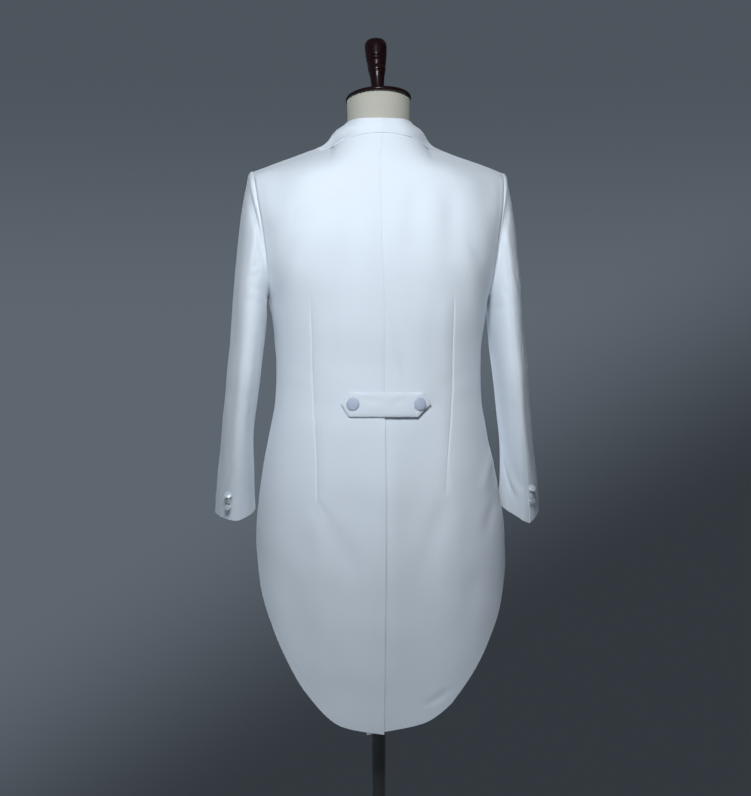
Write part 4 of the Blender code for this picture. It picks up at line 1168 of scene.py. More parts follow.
def armhole_edge(turn):
    """The armhole's edge: turn 0 at the shoulder, a quarter at the back, a half at the armpit."""
    half = np.mod(turn, 1.0)
    at_back = back_surface(1.0, back_armhole_level(np.minimum(half * 2, 1) * BACK_ARMHOLE))
    at_front = front_surface(0.0, front_armhole_level(np.clip(2 - half * 2, 0, 1) * FRONT_ARMHOLE))
    return np.where((half <= 0.5)[..., None], at_back, at_front)


ARMHOLE_MIDDLE = armhole_edge(np.arange(20) / 20).mean(axis=0)


def level_sleeve(turn, height):
    """Places on the sleeve below its head, on the rings that pass through heights at its middle."""
    turn, height = np.broadcast_arrays(turn, height)
    centre_x, centre_y, half_width, half_depth, tilt = sleeve_ring(height)
    angle = 2 * np.pi * turn
    depth = half_depth * np.sin(angle)
    drop = np.tan(np.radians(tilt)) * depth
    return joined(centre_x + half_width * np.cos(angle), centre_y + depth, height - drop)


def sleeve_surface(turn, fall):
    """The left sleeve: fall goes from 0 at the armhole through 1 below its head to 2 at the cuff."""
    turn, fall = np.broadcast_arrays(turn, fall)
    arm = level_sleeve(turn, SLEEVE_TOP + (CUFF - SLEEVE_TOP) * np.clip(fall - 1, 0, 1))
    edge = armhole_edge(turn)
    valley = np.minimum(1.0, 2 * (1 - np.cos(2 * np.pi * turn)))[..., None]
    start = edge + unit(ARMHOLE_MIDDLE - edge) * (ARMHOLE_INSET * valley)
    start = start + (0.0003 - ARMHOLE_TUCK * valley) * np.array((1.0, 0.0, 0.0))
    end = level_sleeve(turn, np.full_like(turn, SLEEVE_TOP))
    down = unit(level_sleeve(turn, np.full_like(turn, SLEEVE_TOP - 0.01)) - end)
    sideways = CAP_SPREAD * np.sin(2 * np.pi * turn)
    under = np.clip(-np.cos(2 * np.pi * turn), 0, 1) ** 1.5
    leave = unit(joined(1, sideways, CAP_SINK - 0.5 * under)) * (CAP_REACH * (1 - 0.6 * under))[..., None]
    arrive = down * (np.linalg.norm(end - start, axis=-1, keepdims=True) * CAP_DROP)
    head = hermite(start, leave, end, arrive, np.clip(fall, 0, 1)[..., None])
    return np.where((fall > 1)[..., None], arm, head)


def cuff_moved_out(side, turn):
    """How far out the cuff's edge hangs from the sleeve's lowest ring."""
    return CUFF_WIDEN * np.cos(2 * math.pi * turn) + CUFF_ASIDE[side]


def hind_seam(side, height):
    """The place of a sleeve's hind seam round it, in turns."""
    return HIND_SEAM + SEAM_TWIST[side] * ease(height, TWIST_TOP, CUFF)


def build_sleeve(side, part, settings, material):
    """The top sleeve or the under sleeve, between the hind seam and the fore seam."""
    name = f"sleeve_{side_name(side)}_{part}"
    fall = np.concatenate([spread_shares(0.11, 44), 1 + spread_shares(0.35, 92)[1:]])
    nominal = np.where(fall <= 1, SLEEVE_TOP, SLEEVE_TOP + (CUFF - SLEEVE_TOP) * (fall - 1))
    hind = hind_seam(side, nominal)
    if part == "top":
        low, high, count = np.full_like(fall, FORE_SEAM), hind, 58
    else:
        low, high, count = hind, np.full_like(fall, 1 + FORE_SEAM), 46

    def surface(share, row):
        turn = low[row] + (high[row] - low[row]) * share
        return sleeve_surface(turn, fall[row])

    row = np.arange(len(fall))[:, None]
    share = shares_on_rows(surface, [count], len(fall))
    turn = low[row] + (high[row] - low[row]) * share
    points = surface(share, row)
    width = travelled(points, 1)
    from_fore = width if part == "top" else width[:, -1:] - width
    from_hind = width[:, -1:] - width if part == "top" else width
    around = from_hind if part == "top" else -from_hind
    height = points[..., 2]
    to_cuff = ease(fall, 1.62, 2.0)[:, None]
    behind = np.maximum(0, np.sin(2 * math.pi * turn))
    from_point = np.abs(turn - hind[:, None])
    point = np.maximum(0, 1 - from_point / 0.25) + np.maximum(0, 1 - from_point / 0.09) * CUFF_TIP[side]
    outer = np.cos(2 * math.pi * turn)
    sides = np.maximum(0, -outer) * CUFF_INNER_LIFT + np.maximum(0, outer) * CUFF_OUTER_LIFT[side]
    points[..., 2] += to_cuff * (CUFF_LIFT[side] * behind - CUFF_POINT[side] * point + sides)
    widened = ease(fall, 1.45, 2.0)[:, None]
    points[..., 0] += widened * cuff_moved_out(side, turn)
    length = travelled(points, 0)
    below_head = ease(fall, 0.15, 0.5)[:, None]
    relief = pressed(around, height, SLEEVE_FOLDS[side]) + lumps(around, height, 0.08, UNEVEN["sleeve"], 23)
    relief = relief * settings.fold_depth * below_head
    relief += (groove(from_hind, *SEAM_LINE) + groove(from_hind, *HIND_DRAW)) * below_head
    relief += groove(from_fore, *SEAM_LINE) * below_head
    if part == "under":
        relief += groove(from_hind, *CUFF_VENT) * ease(height, 0.962, 0.955)
    from_top = np.abs(np.mod(turn + 0.5, 1) - 0.5)
    puff = ridge(fall - 0.10, 0.075, 1.0)[:, None] * (1 - ease(from_top, 0.15, 0.3))
    relief += SLEEVE_PUFF * puff
    shown = ease(height, 1.26, 1.31) * (1 - ease(height, 1.435, 1.455)) * behind
    crease = CREASE_START + CREASE_OUT[side] * ease(height, 1.30, 1.42)
    near, far = CREASE_HOLLOWS
    relief += (groove(length - crease, *near) + groove(length - crease - CREASE_APART, *far)) * shown
    relief += ridge(length - crease / 2, crease / 2, 0.0012) * shown
    relief += hem_relief(length[-1:] - length)
    x, y, z = np.moveaxis(points, -1, 0)
    middle = sleeve_ring(np.clip(z, CUFF, SLEEVE_TOP))
    middle_x = np.where(z > SLEEVE_TOP, HEAD_MIDDLE_X, middle[0])
    outward = joined(side * (x - middle_x), y - middle[1], 0 * z)
    points = joined(side * x, y, raised(side * x, z))
    uv = np.stack([width, -length], axis=-1)
    piece = cloth(f"{name}_cloth", points, outward, uv, SUITING, material, relief)
    return placed(piece, name)


def back_share_at(x, z):
    """The share of the left back where its surface is this far across at a level."""
    low = np.zeros_like(x)
    high = np.ones_like(x)
    for _ in range(30):
        share = (low + high) / 2
        inside = back_surface(share, z)[..., 0] < np.abs(x)
        low = np.where(inside, share, low)
        high = np.where(inside, high, share)
    return low


def back_face(x, z, distance):
    """Places at a distance off the back's outer face, at an x and a height, and the way out there."""
    share = back_share_at(x, z)
    ground = back_surface(share, z)
    normal = normals_of(back_surface, share, z, BEHIND)
    normal = normal * joined(np.where(x >= 0, 1, -1), 1, 1)
    place = joined(x, ground[..., 1], z) + normal * np.asarray(distance)[..., None]
    return place, normal


def build_belt(settings, material):
    """The half belt, a puffy strap with pointed ends across the back waist."""
    along = 2 * spread_shares(BELT_LENGTH, 90)[None, :] - 1
    across = spread_shares(BELT_HEIGHT, 24)[:, None] - 0.5
    x = BELT_MIDDLE_X + along * BELT_LENGTH / 2 + 0 * across
    from_end = BELT_LENGTH / 2 * (1 - np.abs(along))
    slant = np.where((along < 0) & (across < 0), BELT_LOW_POINT, BELT_POINT)
    height = BELT_HEIGHT * np.maximum(0.08, np.minimum(1.0, from_end / slant))
    sag = BELT_SAG * (1 - along**2) * (across + 0.5)
    z = BELT_Z + across * height - sag
    points, _ = back_face(x, z, np.full_like(x, BELT_STANDOFF))
    from_side = (0.5 - np.abs(across)) * height
    inside = np.clip(np.minimum(from_side, from_end) / BELT_PUFF_REACH, 0, 1)
    puff = BELT_PUFF * np.sqrt(inside * (2 - inside)) - BELT_SINK
    puff += groove(from_end - 0.0125, 0.0020, BELT_SINK)
    pulled = np.zeros_like(x)
    for place in (BELT_BUTTON_X[-1], BELT_BUTTON_X[1]):
        pulled += groove(np.hypot(x - place, z - BELT_Z), 0.011, BELT_SINK)
    lifted = ridge(x + 0.072, 0.013, 0.0018) * ease(z, 1.044, 1.066)
    relief = puff + pulled + lifted + pressed(x, z, BELT_FOLDS) * settings.fold_depth
    uv = np.stack([x, z], axis=-1)
    piece = cloth("back_belt_cloth", points, BEHIND, uv, BELT_WALL, material, relief)
    piece.modifiers["Pressed edge"].width = BELT_ROUND
    piece.modifiers["Pressed edge"].segments = 3
    return placed(piece, "back_belt")


# ---- node trees ----------------------------------------------------------------------------------


class Wire:
    """An output socket of a node tree; arithmetic on it adds Math nodes."""

    def __init__(self, graph, socket):
        self.graph = graph
        self.socket = socket

    def __add__(self, other):
        return self.graph.maths("ADD", self, other)

    __radd__ = __add__

    def __sub__(self, other):
        return self.graph.maths("SUBTRACT", self, other)

    def __rsub__(self, other):
        return self.graph.maths("SUBTRACT", other, self)

    def __mul__(self, other):
        return self.graph.maths("MULTIPLY", self, other)

    __rmul__ = __mul__


class Graph:
    """A node tree under construction."""

    def __init__(self, tree):
        self.tree = tree
        self.tree.nodes.clear()

    def node(self, kind, settings=None, sockets=None, out=0):
        """Adds a node, sets its settings and then its sockets' values or links, and gives an output."""
        node = self.tree.nodes.new(kind)
        for name, value in (settings or {}).items():
            setattr(node, name, value)
        for name, value in (sockets or {}).items():
            if isinstance(value, Wire):
                self.tree.links.new(value.socket, node.inputs[name])
            else:
                node.inputs[name].default_value = value
        return Wire(self, node.outputs[out]) if node.outputs else node

    def maths(self, operation, *values):
        return self.node("ShaderNodeMath", {"operation": operation}, dict(enumerate(values)))


class Finish(Graph):
    """A material under construction."""

    def __init__(self, name):
        self.material = bpy.data.materials.new(name)
        self.material.use_nodes = True
        super().__init__(self.material.node_tree)

    def place(self, scale=1.0):
        """Object coordinates, in metres times a scale."""
        wire = self.node("ShaderNodeTexCoord", out="Object")
        return self.node("ShaderNodeVectorMath", {"operation": "SCALE"}, {0: wire, "Scale": scale})

    def noise(self, where, scale, detail=3.0, roughness=0.5):
        sockets = {"Vector": where, "Scale": scale, "Detail": detail, "Roughness": roughness}
        return self.node("ShaderNodeTexNoise", {"noise_dimensions": "3D"}, sockets)

    def drawn_out(self, x, y, z=0.0):
        """A place from its three coordinates, each scaled by itself."""
        return self.node("ShaderNodeCombineXYZ", None, {0: x, 1: y, 2: z})

    def split(self, vector):
        """The three parts of a vector."""
        x = self.node("ShaderNodeSeparateXYZ", None, {0: vector})
        node = x.socket.node
        return [Wire(self, node.outputs[i]) for i in range(3)]

    def blend(self, factor, first, second):
        """A colour between two, each a plain colour or a wire."""
        first, second = (value if isinstance(value, Wire) else (*value[:3], 1) for value in (first, second))
        return self.node("ShaderNodeMix", {"data_type": "RGBA"}, {0: factor, 6: first, 7: second}, 2)

    def bump(self, height, strength, distance, under=None):
        sockets = {"Height": height, "Strength": strength, "Distance": distance}
        if under is not None:
            sockets["Normal"] = under
        return self.node("ShaderNodeBump", None, sockets)

    def surface(self, sockets):
        """The shader itself, wired to the output."""
        shader = self.node("ShaderNodeBsdfPrincipled", None, sockets)
        self.node("ShaderNodeOutputMaterial", None, {"Surface": shader})
        return self.material


def shaded(colour, factor):
    """A colour made darker or lighter."""
    return tuple(channel * factor for channel in colour[:3])


def woven(finish, across, along, pitch):
    """The relief of a fine twill: floats that step sideways from one pick to the next."""
    turn = 2 * math.pi / pitch
    warp = finish.maths("SINE", across * turn)
    twill = finish.maths("SINE", (across + along * 0.6) * (turn / 2))
    return warp * 0.25 + twill * 0.35 + 0.5


def suiting_finish(settings):
    """Cool white gabardine: a fine steep twill with a soft nap and a slight unevenness of shade."""
    finish = Finish("White suiting")
    colour = tuple(settings.suiting_colour)
    across, along, _ = finish.split(finish.node("ShaderNodeUVMap", {"uv_map": "Cloth"}))
    weave = woven(finish, across, along, settings.weave_pitch)
    place = finish.place()
    cloud = finish.noise(place, 7.0, 2.0)
    nap = finish.noise(place, 900.0, 2.0)
    slub = finish.noise(place, 160.0, 3.0)
    shade = finish.blend(cloud, shaded(colour, 0.975), shaded(colour, 1.015))
    shade = finish.blend(slub * 0.5, shade, shaded(colour, 0.965))
    height = weave * 0.6 + nap * 0.4 + slub * 0.6
    return finish.surface(
        {
            "Base Color": shade,
            "Roughness": 0.70 + nap * 0.14,
            "Normal": finish.bump(height, 0.30, 0.00012),
            "Specular IOR Level": 0.30,
            "Sheen Weight": 0.22,
            "Sheen Roughness": 0.45,
            "Sheen Tint": (0.93, 0.96, 1.0, 1.0),
        }
    )


def satin_finish(settings):
    """The closely woven satin that covers the buttons, drawn tight."""
    finish = Finish("Covered button satin")
    colour = tuple(settings.button_colour)
    place = finish.place()
    x, _, z = finish.split(place)
    turn = 2 * math.pi / 0.0007
    thread = finish.maths("SINE", (x + z) * turn) * 0.3 + finish.maths("SINE", (x - z) * (turn / 3)) * 0.2
    fleck = finish.noise(place, 500.0, 3.0)
    return finish.surface(
        {
            "Base Color": finish.blend(fleck, shaded(colour, 0.92), shaded(colour, 1.06)),
            "Roughness": 0.40 + fleck * 0.16,
            "Normal": finish.bump(thread + fleck, 0.25, 0.0001),
            "Sheen Weight": 0.30,
            "Sheen Roughness": 0.30,
            "Specular IOR Level": 0.5,
        }
    )


def gloss_finish(settings):
    """The silvery satin of the cuff buttons, with a sharper shine."""
    finish = Finish("Silver satin")
    place = finish.place()
    fleck = finish.noise(place, 380.0, 3.0)
    grey = (0.74, 0.78, 0.80)
    return finish.surface(
        {
            "Base Color": finish.blend(fleck, shaded(grey, 0.85), shaded(grey, 1.10)),
            "Roughness": 0.24 + fleck * 0.12,
            "Metallic": 0.25,
            "Normal": finish.bump(fleck, 0.20, 0.0001),
            "Specular IOR Level": 0.6,
        }
    )


def thread_finish(settings):
    """Twisted silk thread."""
    finish = Finish("Silk thread")
    colour = tuple(settings.thread_colour)
    place = finish.place()
    x, y, z = finish.split(place)
    ply = finish.maths("SINE", (x + y + z) * (2 * math.pi / 0.0006))
    return finish.surface(
        {
            "Base Color": finish.blend(ply * 0.5 + 0.5, shaded(colour, 0.92), colour),
            "Roughness": 0.45 + ply * 0.05,
            "Normal": finish.bump(ply, 0.4, 0.0001),
            "Sheen Weight": 0.2,
        }
    )


def linen_finish(settings):
    """Cream linen glued over the form: a plain weave with slubs and a slight yellowing."""
    finish = Finish("Cream linen")
    colour = tuple(settings.linen_colour)
    across, along, _ = finish.split(finish.node("ShaderNodeUVMap", {"uv_map": "Cloth"}))
    turn = 2 * math.pi / 0.0011
    plain = finish.maths("SINE", across * turn) * finish.maths("SINE", along * turn)
    place = finish.place()
    slub_across = finish.noise(finish.drawn_out(across * 60, along * 900), 1.0, 2.0)
    slub_along = finish.noise(finish.drawn_out(across * 900, along * 60), 1.0, 2.0)
    cloud = finish.noise(place, 9.0, 3.0)
    shade = finish.blend(cloud, shaded(colour, 0.93), shaded(colour, 1.04))
    shade = finish.blend(slub_across * slub_along * 0.5, shade, shaded(colour, 0.80))
    height = plain * 0.3 + slub_across * 0.5 + slub_along * 0.5
    return finish.surface(
        {
            "Base Color": shade,
            "Roughness": 0.82 + cloud * 0.08,
            "Normal": finish.bump(height, 0.35, 0.0002),
            "Sheen Weight": 0.12,
            "Sheen Roughness": 0.5,
            "Specular IOR Level": 0.25,
        }
    )


def wood_finish(settings):
    """Dark red-brown hardwood, turned, stained and lacquered."""
    finish = Finish("Lacquered dark wood")
    colour = tuple(settings.wood_colour)
    place = finish.place()
    x, y, z = finish.split(place)
    grain = finish.noise(finish.drawn_out(x * 160, y * 160, z * 14), 1.0, 5.0, 0.6)
    pores = finish.noise(finish.drawn_out(x * 900, y * 900, z * 60), 1.0, 2.0)
    shade = finish.blend(grain, shaded(colour, 0.45), shaded(colour, 1.5))
    shade = finish.blend(pores * 0.35, shade, shaded(colour, 0.25))
    dust = finish.noise(place, 60.0, 4.0)
    return finish.surface(
        {
            "Base Color": shade,
            "Roughness": 0.22 + dust * 0.12,
            "Normal": finish.bump(grain * 0.4 + pores * 0.6, 0.10, 0.0002),
            "Coat Weight": 0.35,
            "Coat Roughness": 0.10,
            "Specular IOR Level": 0.30,
        }
    )


def steel_finish(settings):
    """Black paint on steel, with the soft orange peel of a dipped coat and a rubbed edge."""
    finish = Finish("Black painted steel")
    colour = tuple(settings.steel_colour)
    place = finish.place()
    x, y, _ = finish.split(place)
    peel = finish.noise(place, 420.0, 2.0)
    scuff = finish.noise(place, 45.0, 6.0, 0.65)
    radius = finish.maths("SQRT", x * x + y * y)
    low = finish.node(
        "ShaderNodeMapRange",
        {"interpolation_type": "SMOOTHSTEP"},
        {"Value": radius, "From Min": 0.172, "From Max": 0.181, "To Min": 0.0, "To Max": 0.55},
    )
    rubbed = finish.node(
        "ShaderNodeMapRange",
        {"interpolation_type": "SMOOTHSTEP"},
        {"Value": scuff + low * 0.3, "From Min": 0.62, "From Max": 0.80, "To Min": 0.0, "To Max": 0.8},
    )
    return finish.surface(
        {
            "Base Color": finish.blend(rubbed, colour, (0.16, 0.155, 0.15)),
            "Roughness": 0.36 + scuff * 0.16,
            "Metallic": 0.0,
            "Normal": finish.bump(peel, 0.12, 0.0004),
            "Coat Weight": 0.25,
            "Coat Roughness": 0.25,
        }
    )


def floor_finish(settings):
    """A plain pale floor with a trace of unevenness."""
    finish = Finish("Pale floor")
    colour = tuple(settings.floor_colour)
    cloud = finish.noise(finish.place(), 3.0, 4.0)
    grit = finish.noise(finish.place(), 220.0, 3.0)
    return finish.surface(
        {
            "Base Color": finish.blend(cloud, shaded(colour, 0.97), shaded(colour, 1.03)),
            "Roughness": 0.62 + grit * 0.12,
            "Normal": finish.bump(grit, 0.05, 0.0004),
        }
    )


def material_named(name, maker, settings):
    return bpy.data.materials.get(name) or maker(settings)


# ---- geometry nodes ------------------------------------------------------------------------------


def node_group(name, inputs):
    """A geometry node group with named inputs: (name, kind, default) each, after its geometry."""
    group = bpy.data.node_groups.new(name, "GeometryNodeTree")
    group.is_modifier = True
    group.interface.new_socket("Geometry", in_out="OUTPUT", socket_type="NodeSocketGeometry")
    group.interface.new_socket("Geometry", in_out="INPUT", socket_type="NodeSocketGeometry")
    for label, kind, default in inputs:
        socket = group.interface.new_socket(label, in_out="INPUT", socket_type=kind)
        if default is not None:
            socket.default_value = default
    graph = Graph(group)
    entry = group.nodes.new("NodeGroupInput")
    wires = {socket.name: Wire(graph, socket) for socket in entry.outputs if socket.name}
    return group, graph, wires


def shown(graph, geometry, material):
    """Ends a tree: instances made real, with their material."""
    real = graph.node("GeometryNodeRealizeInstances", None, {"Geometry": geometry})
    finished = graph.node("GeometryNodeSetMaterial", None, {"Geometry": real, "Material": material})
    graph.node("NodeGroupOutput", None, {"Geometry": finished})


def direction(graph, name):
    """A direction that the points carry."""
    settings = {"data_type": "FLOAT_VECTOR"}
    return graph.node("GeometryNodeInputNamedAttribute", settings, {"Name": name}, "Attribute")


def button_group():
    """Covered buttons on points: each a low dome, gathered under its rim, facing the point's way out."""
    inputs = [
        ("Radius", "NodeSocketFloat", 0.01),
        ("Dome", "NodeSocketFloat", 0.3),
        ("Gathers", "NodeSocketFloat", 14.0),
        ("Material", "NodeSocketMaterial", None),
    ]
    group, graph, given = node_group("Covered buttons", inputs)
    ball = graph.node("GeometryNodeMeshUVSphere", None, {"Segments": 56, "Rings": 20, "Radius": 1.0})
    spot = graph.node("GeometryNodeInputPosition")
    parts = graph.node("ShaderNodeSeparateXYZ", None, {0: spot}).socket.node
    x, y, z = [Wire(graph, parts.outputs[i]) for i in range(3)]
    above = graph.maths("MAXIMUM", z, 0.0)
    below = graph.maths("MINIMUM", graph.maths("MULTIPLY", graph.maths("MINIMUM", z, 0.0), 1.8), 0.0)
    below = graph.maths("MAXIMUM", below, -1.0)
    rise = above * 0.78 + 0.22 + below * 0.22
    angle = graph.maths("ARCTAN2", y, x)
    pleat = graph.maths("SINE", angle * given["Gathers"])
    fall_off = {"Value": z, "From Min": 0.55, "From Max": -0.1, "To Min": 0.0, "To Max": 0.016}
    rim = graph.node("ShaderNodeMapRange", None, fall_off)
    out = (1.0 - pleat * rim) * given["Radius"]
    shape = graph.node(
        "ShaderNodeCombineXYZ", None, {0: x * out, 1: y * out, 2: rise * given["Radius"] * given["Dome"]}
    )
    button = graph.node("GeometryNodeSetPosition", None, {"Geometry": ball, "Position": shape})
    button = graph.node("GeometryNodeSetShadeSmooth", None, {"Geometry": button, "Shade Smooth": True})
    way_out = direction(graph, "facing")
    facing = graph.node("FunctionNodeAlignRotationToVector", {"axis": "Z"}, {"Vector": way_out})
    buttons = graph.node(
        "GeometryNodeInstanceOnPoints",
        None,
        {"Points": given["Geometry"], "Instance": button, "Rotation": facing},
    )
    shown(graph, buttons, given["Material"])
    return group


def stitch_group():
    """Small raised stitches along paths, each lying the path's way and standing its way out."""
    inputs = [
        ("Pitch", "NodeSocketFloat", 0.005),
        ("Length", "NodeSocketFloat", 0.0015),
        ("Thickness", "NodeSocketFloat", 0.0005),
        ("Material", "NodeSocketMaterial", None),
    ]
    group, graph, given = node_group("Stitches", inputs)
    path = graph.node("GeometryNodeMeshToCurve", None, {"Mesh": given["Geometry"]})
    steps = {"Curve": path, "Length": given["Pitch"]}
    spots = graph.node("GeometryNodeResampleCurve", {"mode": "LENGTH"}, steps)
    ball = graph.node("GeometryNodeMeshUVSphere", None, {"Segments": 6, "Rings": 4, "Radius": 0.5})
    ball = graph.node("GeometryNodeSetShadeSmooth", None, {"Geometry": ball, "Shade Smooth": True})
    lay = direction(graph, "lay")
    along = graph.node("FunctionNodeAlignRotationToVector", {"axis": "X"}, {"Vector": lay})
    turned = graph.node(
        "FunctionNodeAlignRotationToVector",
        {"axis": "Z", "pivot_axis": "X"},
        {"Rotation": along, "Vector": direction(graph, "facing")},
    )
    size = graph.node(
        "ShaderNodeCombineXYZ", None, {0: given["Length"], 1: given["Thickness"], 2: given["Thickness"]}
    )
    stitches = graph.node(
        "GeometryNodeInstanceOnPoints",
        None,
        {"Points": spots, "Instance": ball, "Rotation": turned, "Scale": size},
    )
    shown(graph, stitches, given["Material"])
    return group


def run_group(name, group, mesh, values, material):
    """Runs a node group on a mesh of points or paths and gives the result as a plain mesh piece."""
    maker = linked(name + "_maker", mesh)
    modifier = maker.modifiers.new("Maker", "NODES")
    modifier.node_group = group
    wanted = {**values, "Material": material}
    for item in group.interface.items_tree:
        if item.item_type == "SOCKET" and item.in_out == "INPUT" and item.name in wanted:
            modifier[item.identifier] = wanted[item.name]
    bpy.context.view_layer.update()
    return plain_mesh(name, maker, material)


def marked_mesh(name, paths, vectors):
    """A mesh of open paths, or of lone points, whose points carry direction attributes."""
    points = np.concatenate(paths)
    edges = []
    first = 0
    for path in paths:
        edges += [(first + i, first + i + 1) for i in range(len(path) - 1)]
        first += len(path)
    mesh = bpy.data.meshes.new(name)
    mesh.from_pydata(points.tolist(), edges, [])
    for label, values in vectors.items():
        attribute = mesh.attributes.new(label, "FLOAT_VECTOR", "POINT")
        attribute.data.foreach_set("vector", np.concatenate(values).astype(np.float32).ravel())
    return mesh


# ---- buttons and stitches ------------------------------------------------------------------------


def cuff_places(side):
    """The places of a cuff's buttons on the top sleeve beside the hind seam, and the way out there."""
    height = np.array(CUFF_BUTTONS[side])
    half_width = sleeve_ring(height)[2]
    turn = HIND_SEAM - VENT_BUTTON_X / (2 * math.pi * half_width)
    middle = level_sleeve(turn, height)
    ahead = level_sleeve(turn + 0.005, height) - level_sleeve(turn - 0.005, height)
    down = level_sleeve(turn, height - 0.005) - level_sleeve(turn, height + 0.005)
    normal = unit(np.cross(ahead, down))
    centre_x, centre_y = sleeve_ring(height)[:2]
    outward = joined(middle[:, 0] - centre_x, middle[:, 1] - centre_y, 0 * height)
    normal = normal * np.where((normal * outward).sum(axis=-1, keepdims=True) < 0, -1, 1)
    widened = ease((SLEEVE_TOP - height) / (SLEEVE_TOP - CUFF), 0.45, 1.0)
    middle[:, 0] += widened * cuff_moved_out(side, turn)
    mirror = np.array((side, 1, 1))
    return (middle + normal * (SUITING + BUTTON_LIFT)) * mirror, unit(normal * mirror + BUTTON_TILTS[side])


def build_buttons(material, gloss):
    """The covered buttons: two on the half belt, three on each cuff and one at the front."""
    group = button_group()
    made = []
    for side in (1, -1):
        name = side_name(side)
        places, facing = cuff_places(side)
        nodes = [f"cuff_button_{name}_{number}" for number in (1, 2, 3)]
        made.append((f"cuff_buttons_{name}", places, facing, CUFF_BUTTON, nodes))
        x = np.array([BELT_BUTTON_X[side]])
        places, facing = back_face(x, np.array([BELT_Z]), np.array([BELT_STANDOFF + BELT_WALL + 0.0004]))
        made.append((f"belt_button_{name}_cover", places, facing, BELT_BUTTON, [f"belt_button_{name}"]))
    ground = front_surface(np.array([1.0]), np.array([FRONT_BUTTON_Z]))
    places = np.array([[0.0, ground[0, 1] - SUITING - 0.0007, FRONT_BUTTON_Z]])
    facing = np.array([[0.0, -1.0, 0.0]])
    made.append(("front_button_cover", places, facing, FRONT_BUTTON, ["front_button"]))
    for name, places, facing, diameter, nodes in made:
        mesh = marked_mesh(name, [[place] for place in places], {"facing": [[way] for way in facing]})
        values = {"Radius": diameter / 2, "Dome": BUTTON_DOME, "Gathers": 14.0}
        finish = gloss if name.startswith("cuff") else material
        placed(run_group(name, group, mesh, values, finish), nodes)


def lay_along(path):
    """The direction of a path at each of its points."""
    return unit(np.gradient(path, axis=0))


def build_stitches(settings, material):
    """Pick stitches along the edges of the lapels, and the buttonhole."""
    group = stitch_group()
    inset = settings.stitch_inset
    paths, facings = [], []
    for side in (1, -1):
        up = np.linspace(0.10, 0.985, 120)
        share = 1 - inset / np.maximum(lapel_width(up)[0], inset * 1.5)
        place, normal = lapel_place(side, share, up, SUITING - 0.00005)
        paths.append(place)
        facings.append(normal)
    lays = [lay_along(path) for path in paths]
    mesh = marked_mesh("edge_stitches", paths, {"facing": facings, "lay": lays})
    values = {"Pitch": settings.stitch_pitch, "Length": 0.0016, "Thickness": 0.00035}
    piece = run_group("edge_stitches", group, mesh, values, material)
    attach(piece, "root")
    z = FRONT_BUTTON_Z + np.repeat([HOLE_HALF, -HOLE_HALF], 30)
    x = HOLE_START + np.concatenate([np.linspace(0, HOLE_LENGTH, 30), np.linspace(HOLE_LENGTH, 0, 30)])
    ground = front_surface(np.full_like(x, 1.0), z)
    width = front_surface(np.full_like(x, 0.9), z)[:, 0] - ground[:, 0]
    share = 1 - 0.1 * (x - ground[:, 0]) / width
    spot = front_surface(share, z)
    normal = normals_of(front_surface, share, z, AHEAD)
    path = spot + normal * (SUITING + 0.00005)
    lay = np.broadcast_to(np.array((0.0, 0.0, 1.0)), path.shape)
    mesh = marked_mesh("buttonhole", [path], {"facing": [normal], "lay": [lay]})
    values = {"Pitch": 0.0006, "Length": 0.0022, "Thickness": 0.0006}
    piece = run_group("buttonhole", group, mesh, values, material)
    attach(piece, "root")


# ---- dress form ----------------------------------------------------------------------------------


form_section = table_curve(FORM)


def form_place(turn, height):
    """Places on the form: turn 0 at the wearer's left, a quarter at the back."""
    half_width, back_y, front_y, power = form_section(height)
    angle = 2 * np.pi * turn
    cosine, sine = np.cos(angle), np.sin(angle)
    x = half_width * np.sign(cosine) * np.abs(cosine) ** (2 / power)
    y = np.where(sine > 0, back_y, -front_y) * np.sign(sine) * np.abs(sine) ** (2 / power)
    slope = ease(height, NECK_BASE, FORM[-1][0]) * math.tan(math.radians(NECK_SLOPE)) * y
    return joined(x, y, height + slope)


def build_form(material):
    """The limbless form: smooth linen panels, with their seams, from the hip to the neck's sloping top."""
    steps = 144
    height = np.concatenate([np.linspace(0.800, 0.830, 9)[:-1], np.linspace(0.830, 1.5895, 190)])[:, None]
    turn = (np.arange(steps) / steps)[None, :]
    points = form_place(turn, height)
    middle = joined(0 * points[..., 0], 0 * points[..., 1], points[..., 2])
    outward = unit(points - middle)
    relief = np.zeros(points.shape[:2])
    for seam in FORM_SEAMS:
        aside = (np.mod(turn - seam + 0.5, 1) - 0.5) * 0.9
        relief += groove(aside, *FORM_SEAM) * (1 - ease(height, 1.485, 1.505))
    points = points + outward * relief[..., None]
    shape = bmesh.new()
    layer = shape.loops.layers.uv.new("Cloth")
    rings = [[shape.verts.new(place) for place in ring] for ring in points]
    for row, (lower, upper) in enumerate(zip(rings, rings[1:])):
        for i in range(steps):
            j = (i + 1) % steps
            face = shape.faces.new((lower[i], lower[j], upper[j], upper[i]))
            spots = ((i, row), (i + 1, row), (i + 1, row + 1), (i, row + 1))
            for loop, (column, line) in zip(face.loops, spots):
                loop[layer].uv = (column / steps * 0.9, float(height[line, 0]))
    for ring, turn_over in ((rings[0], True), (rings[-1], False)):
        centre = shape.verts.new(sum((vertex.co for vertex in ring), Vector()) / steps)
        for i in range(steps):
            pair = (ring[i], ring[(i + 1) % steps])
            face = shape.faces.new((centre, *(reversed(pair) if turn_over else pair)))
            for loop in face.loops:
                loop[layer].uv = (loop.vert.co.x, loop.vert.co.y)
    mesh = finished_mesh("form_body_linen", shape, material)
    mesh.shade_smooth()
    piece = placed(linked("form_body_linen", mesh), "form_body")


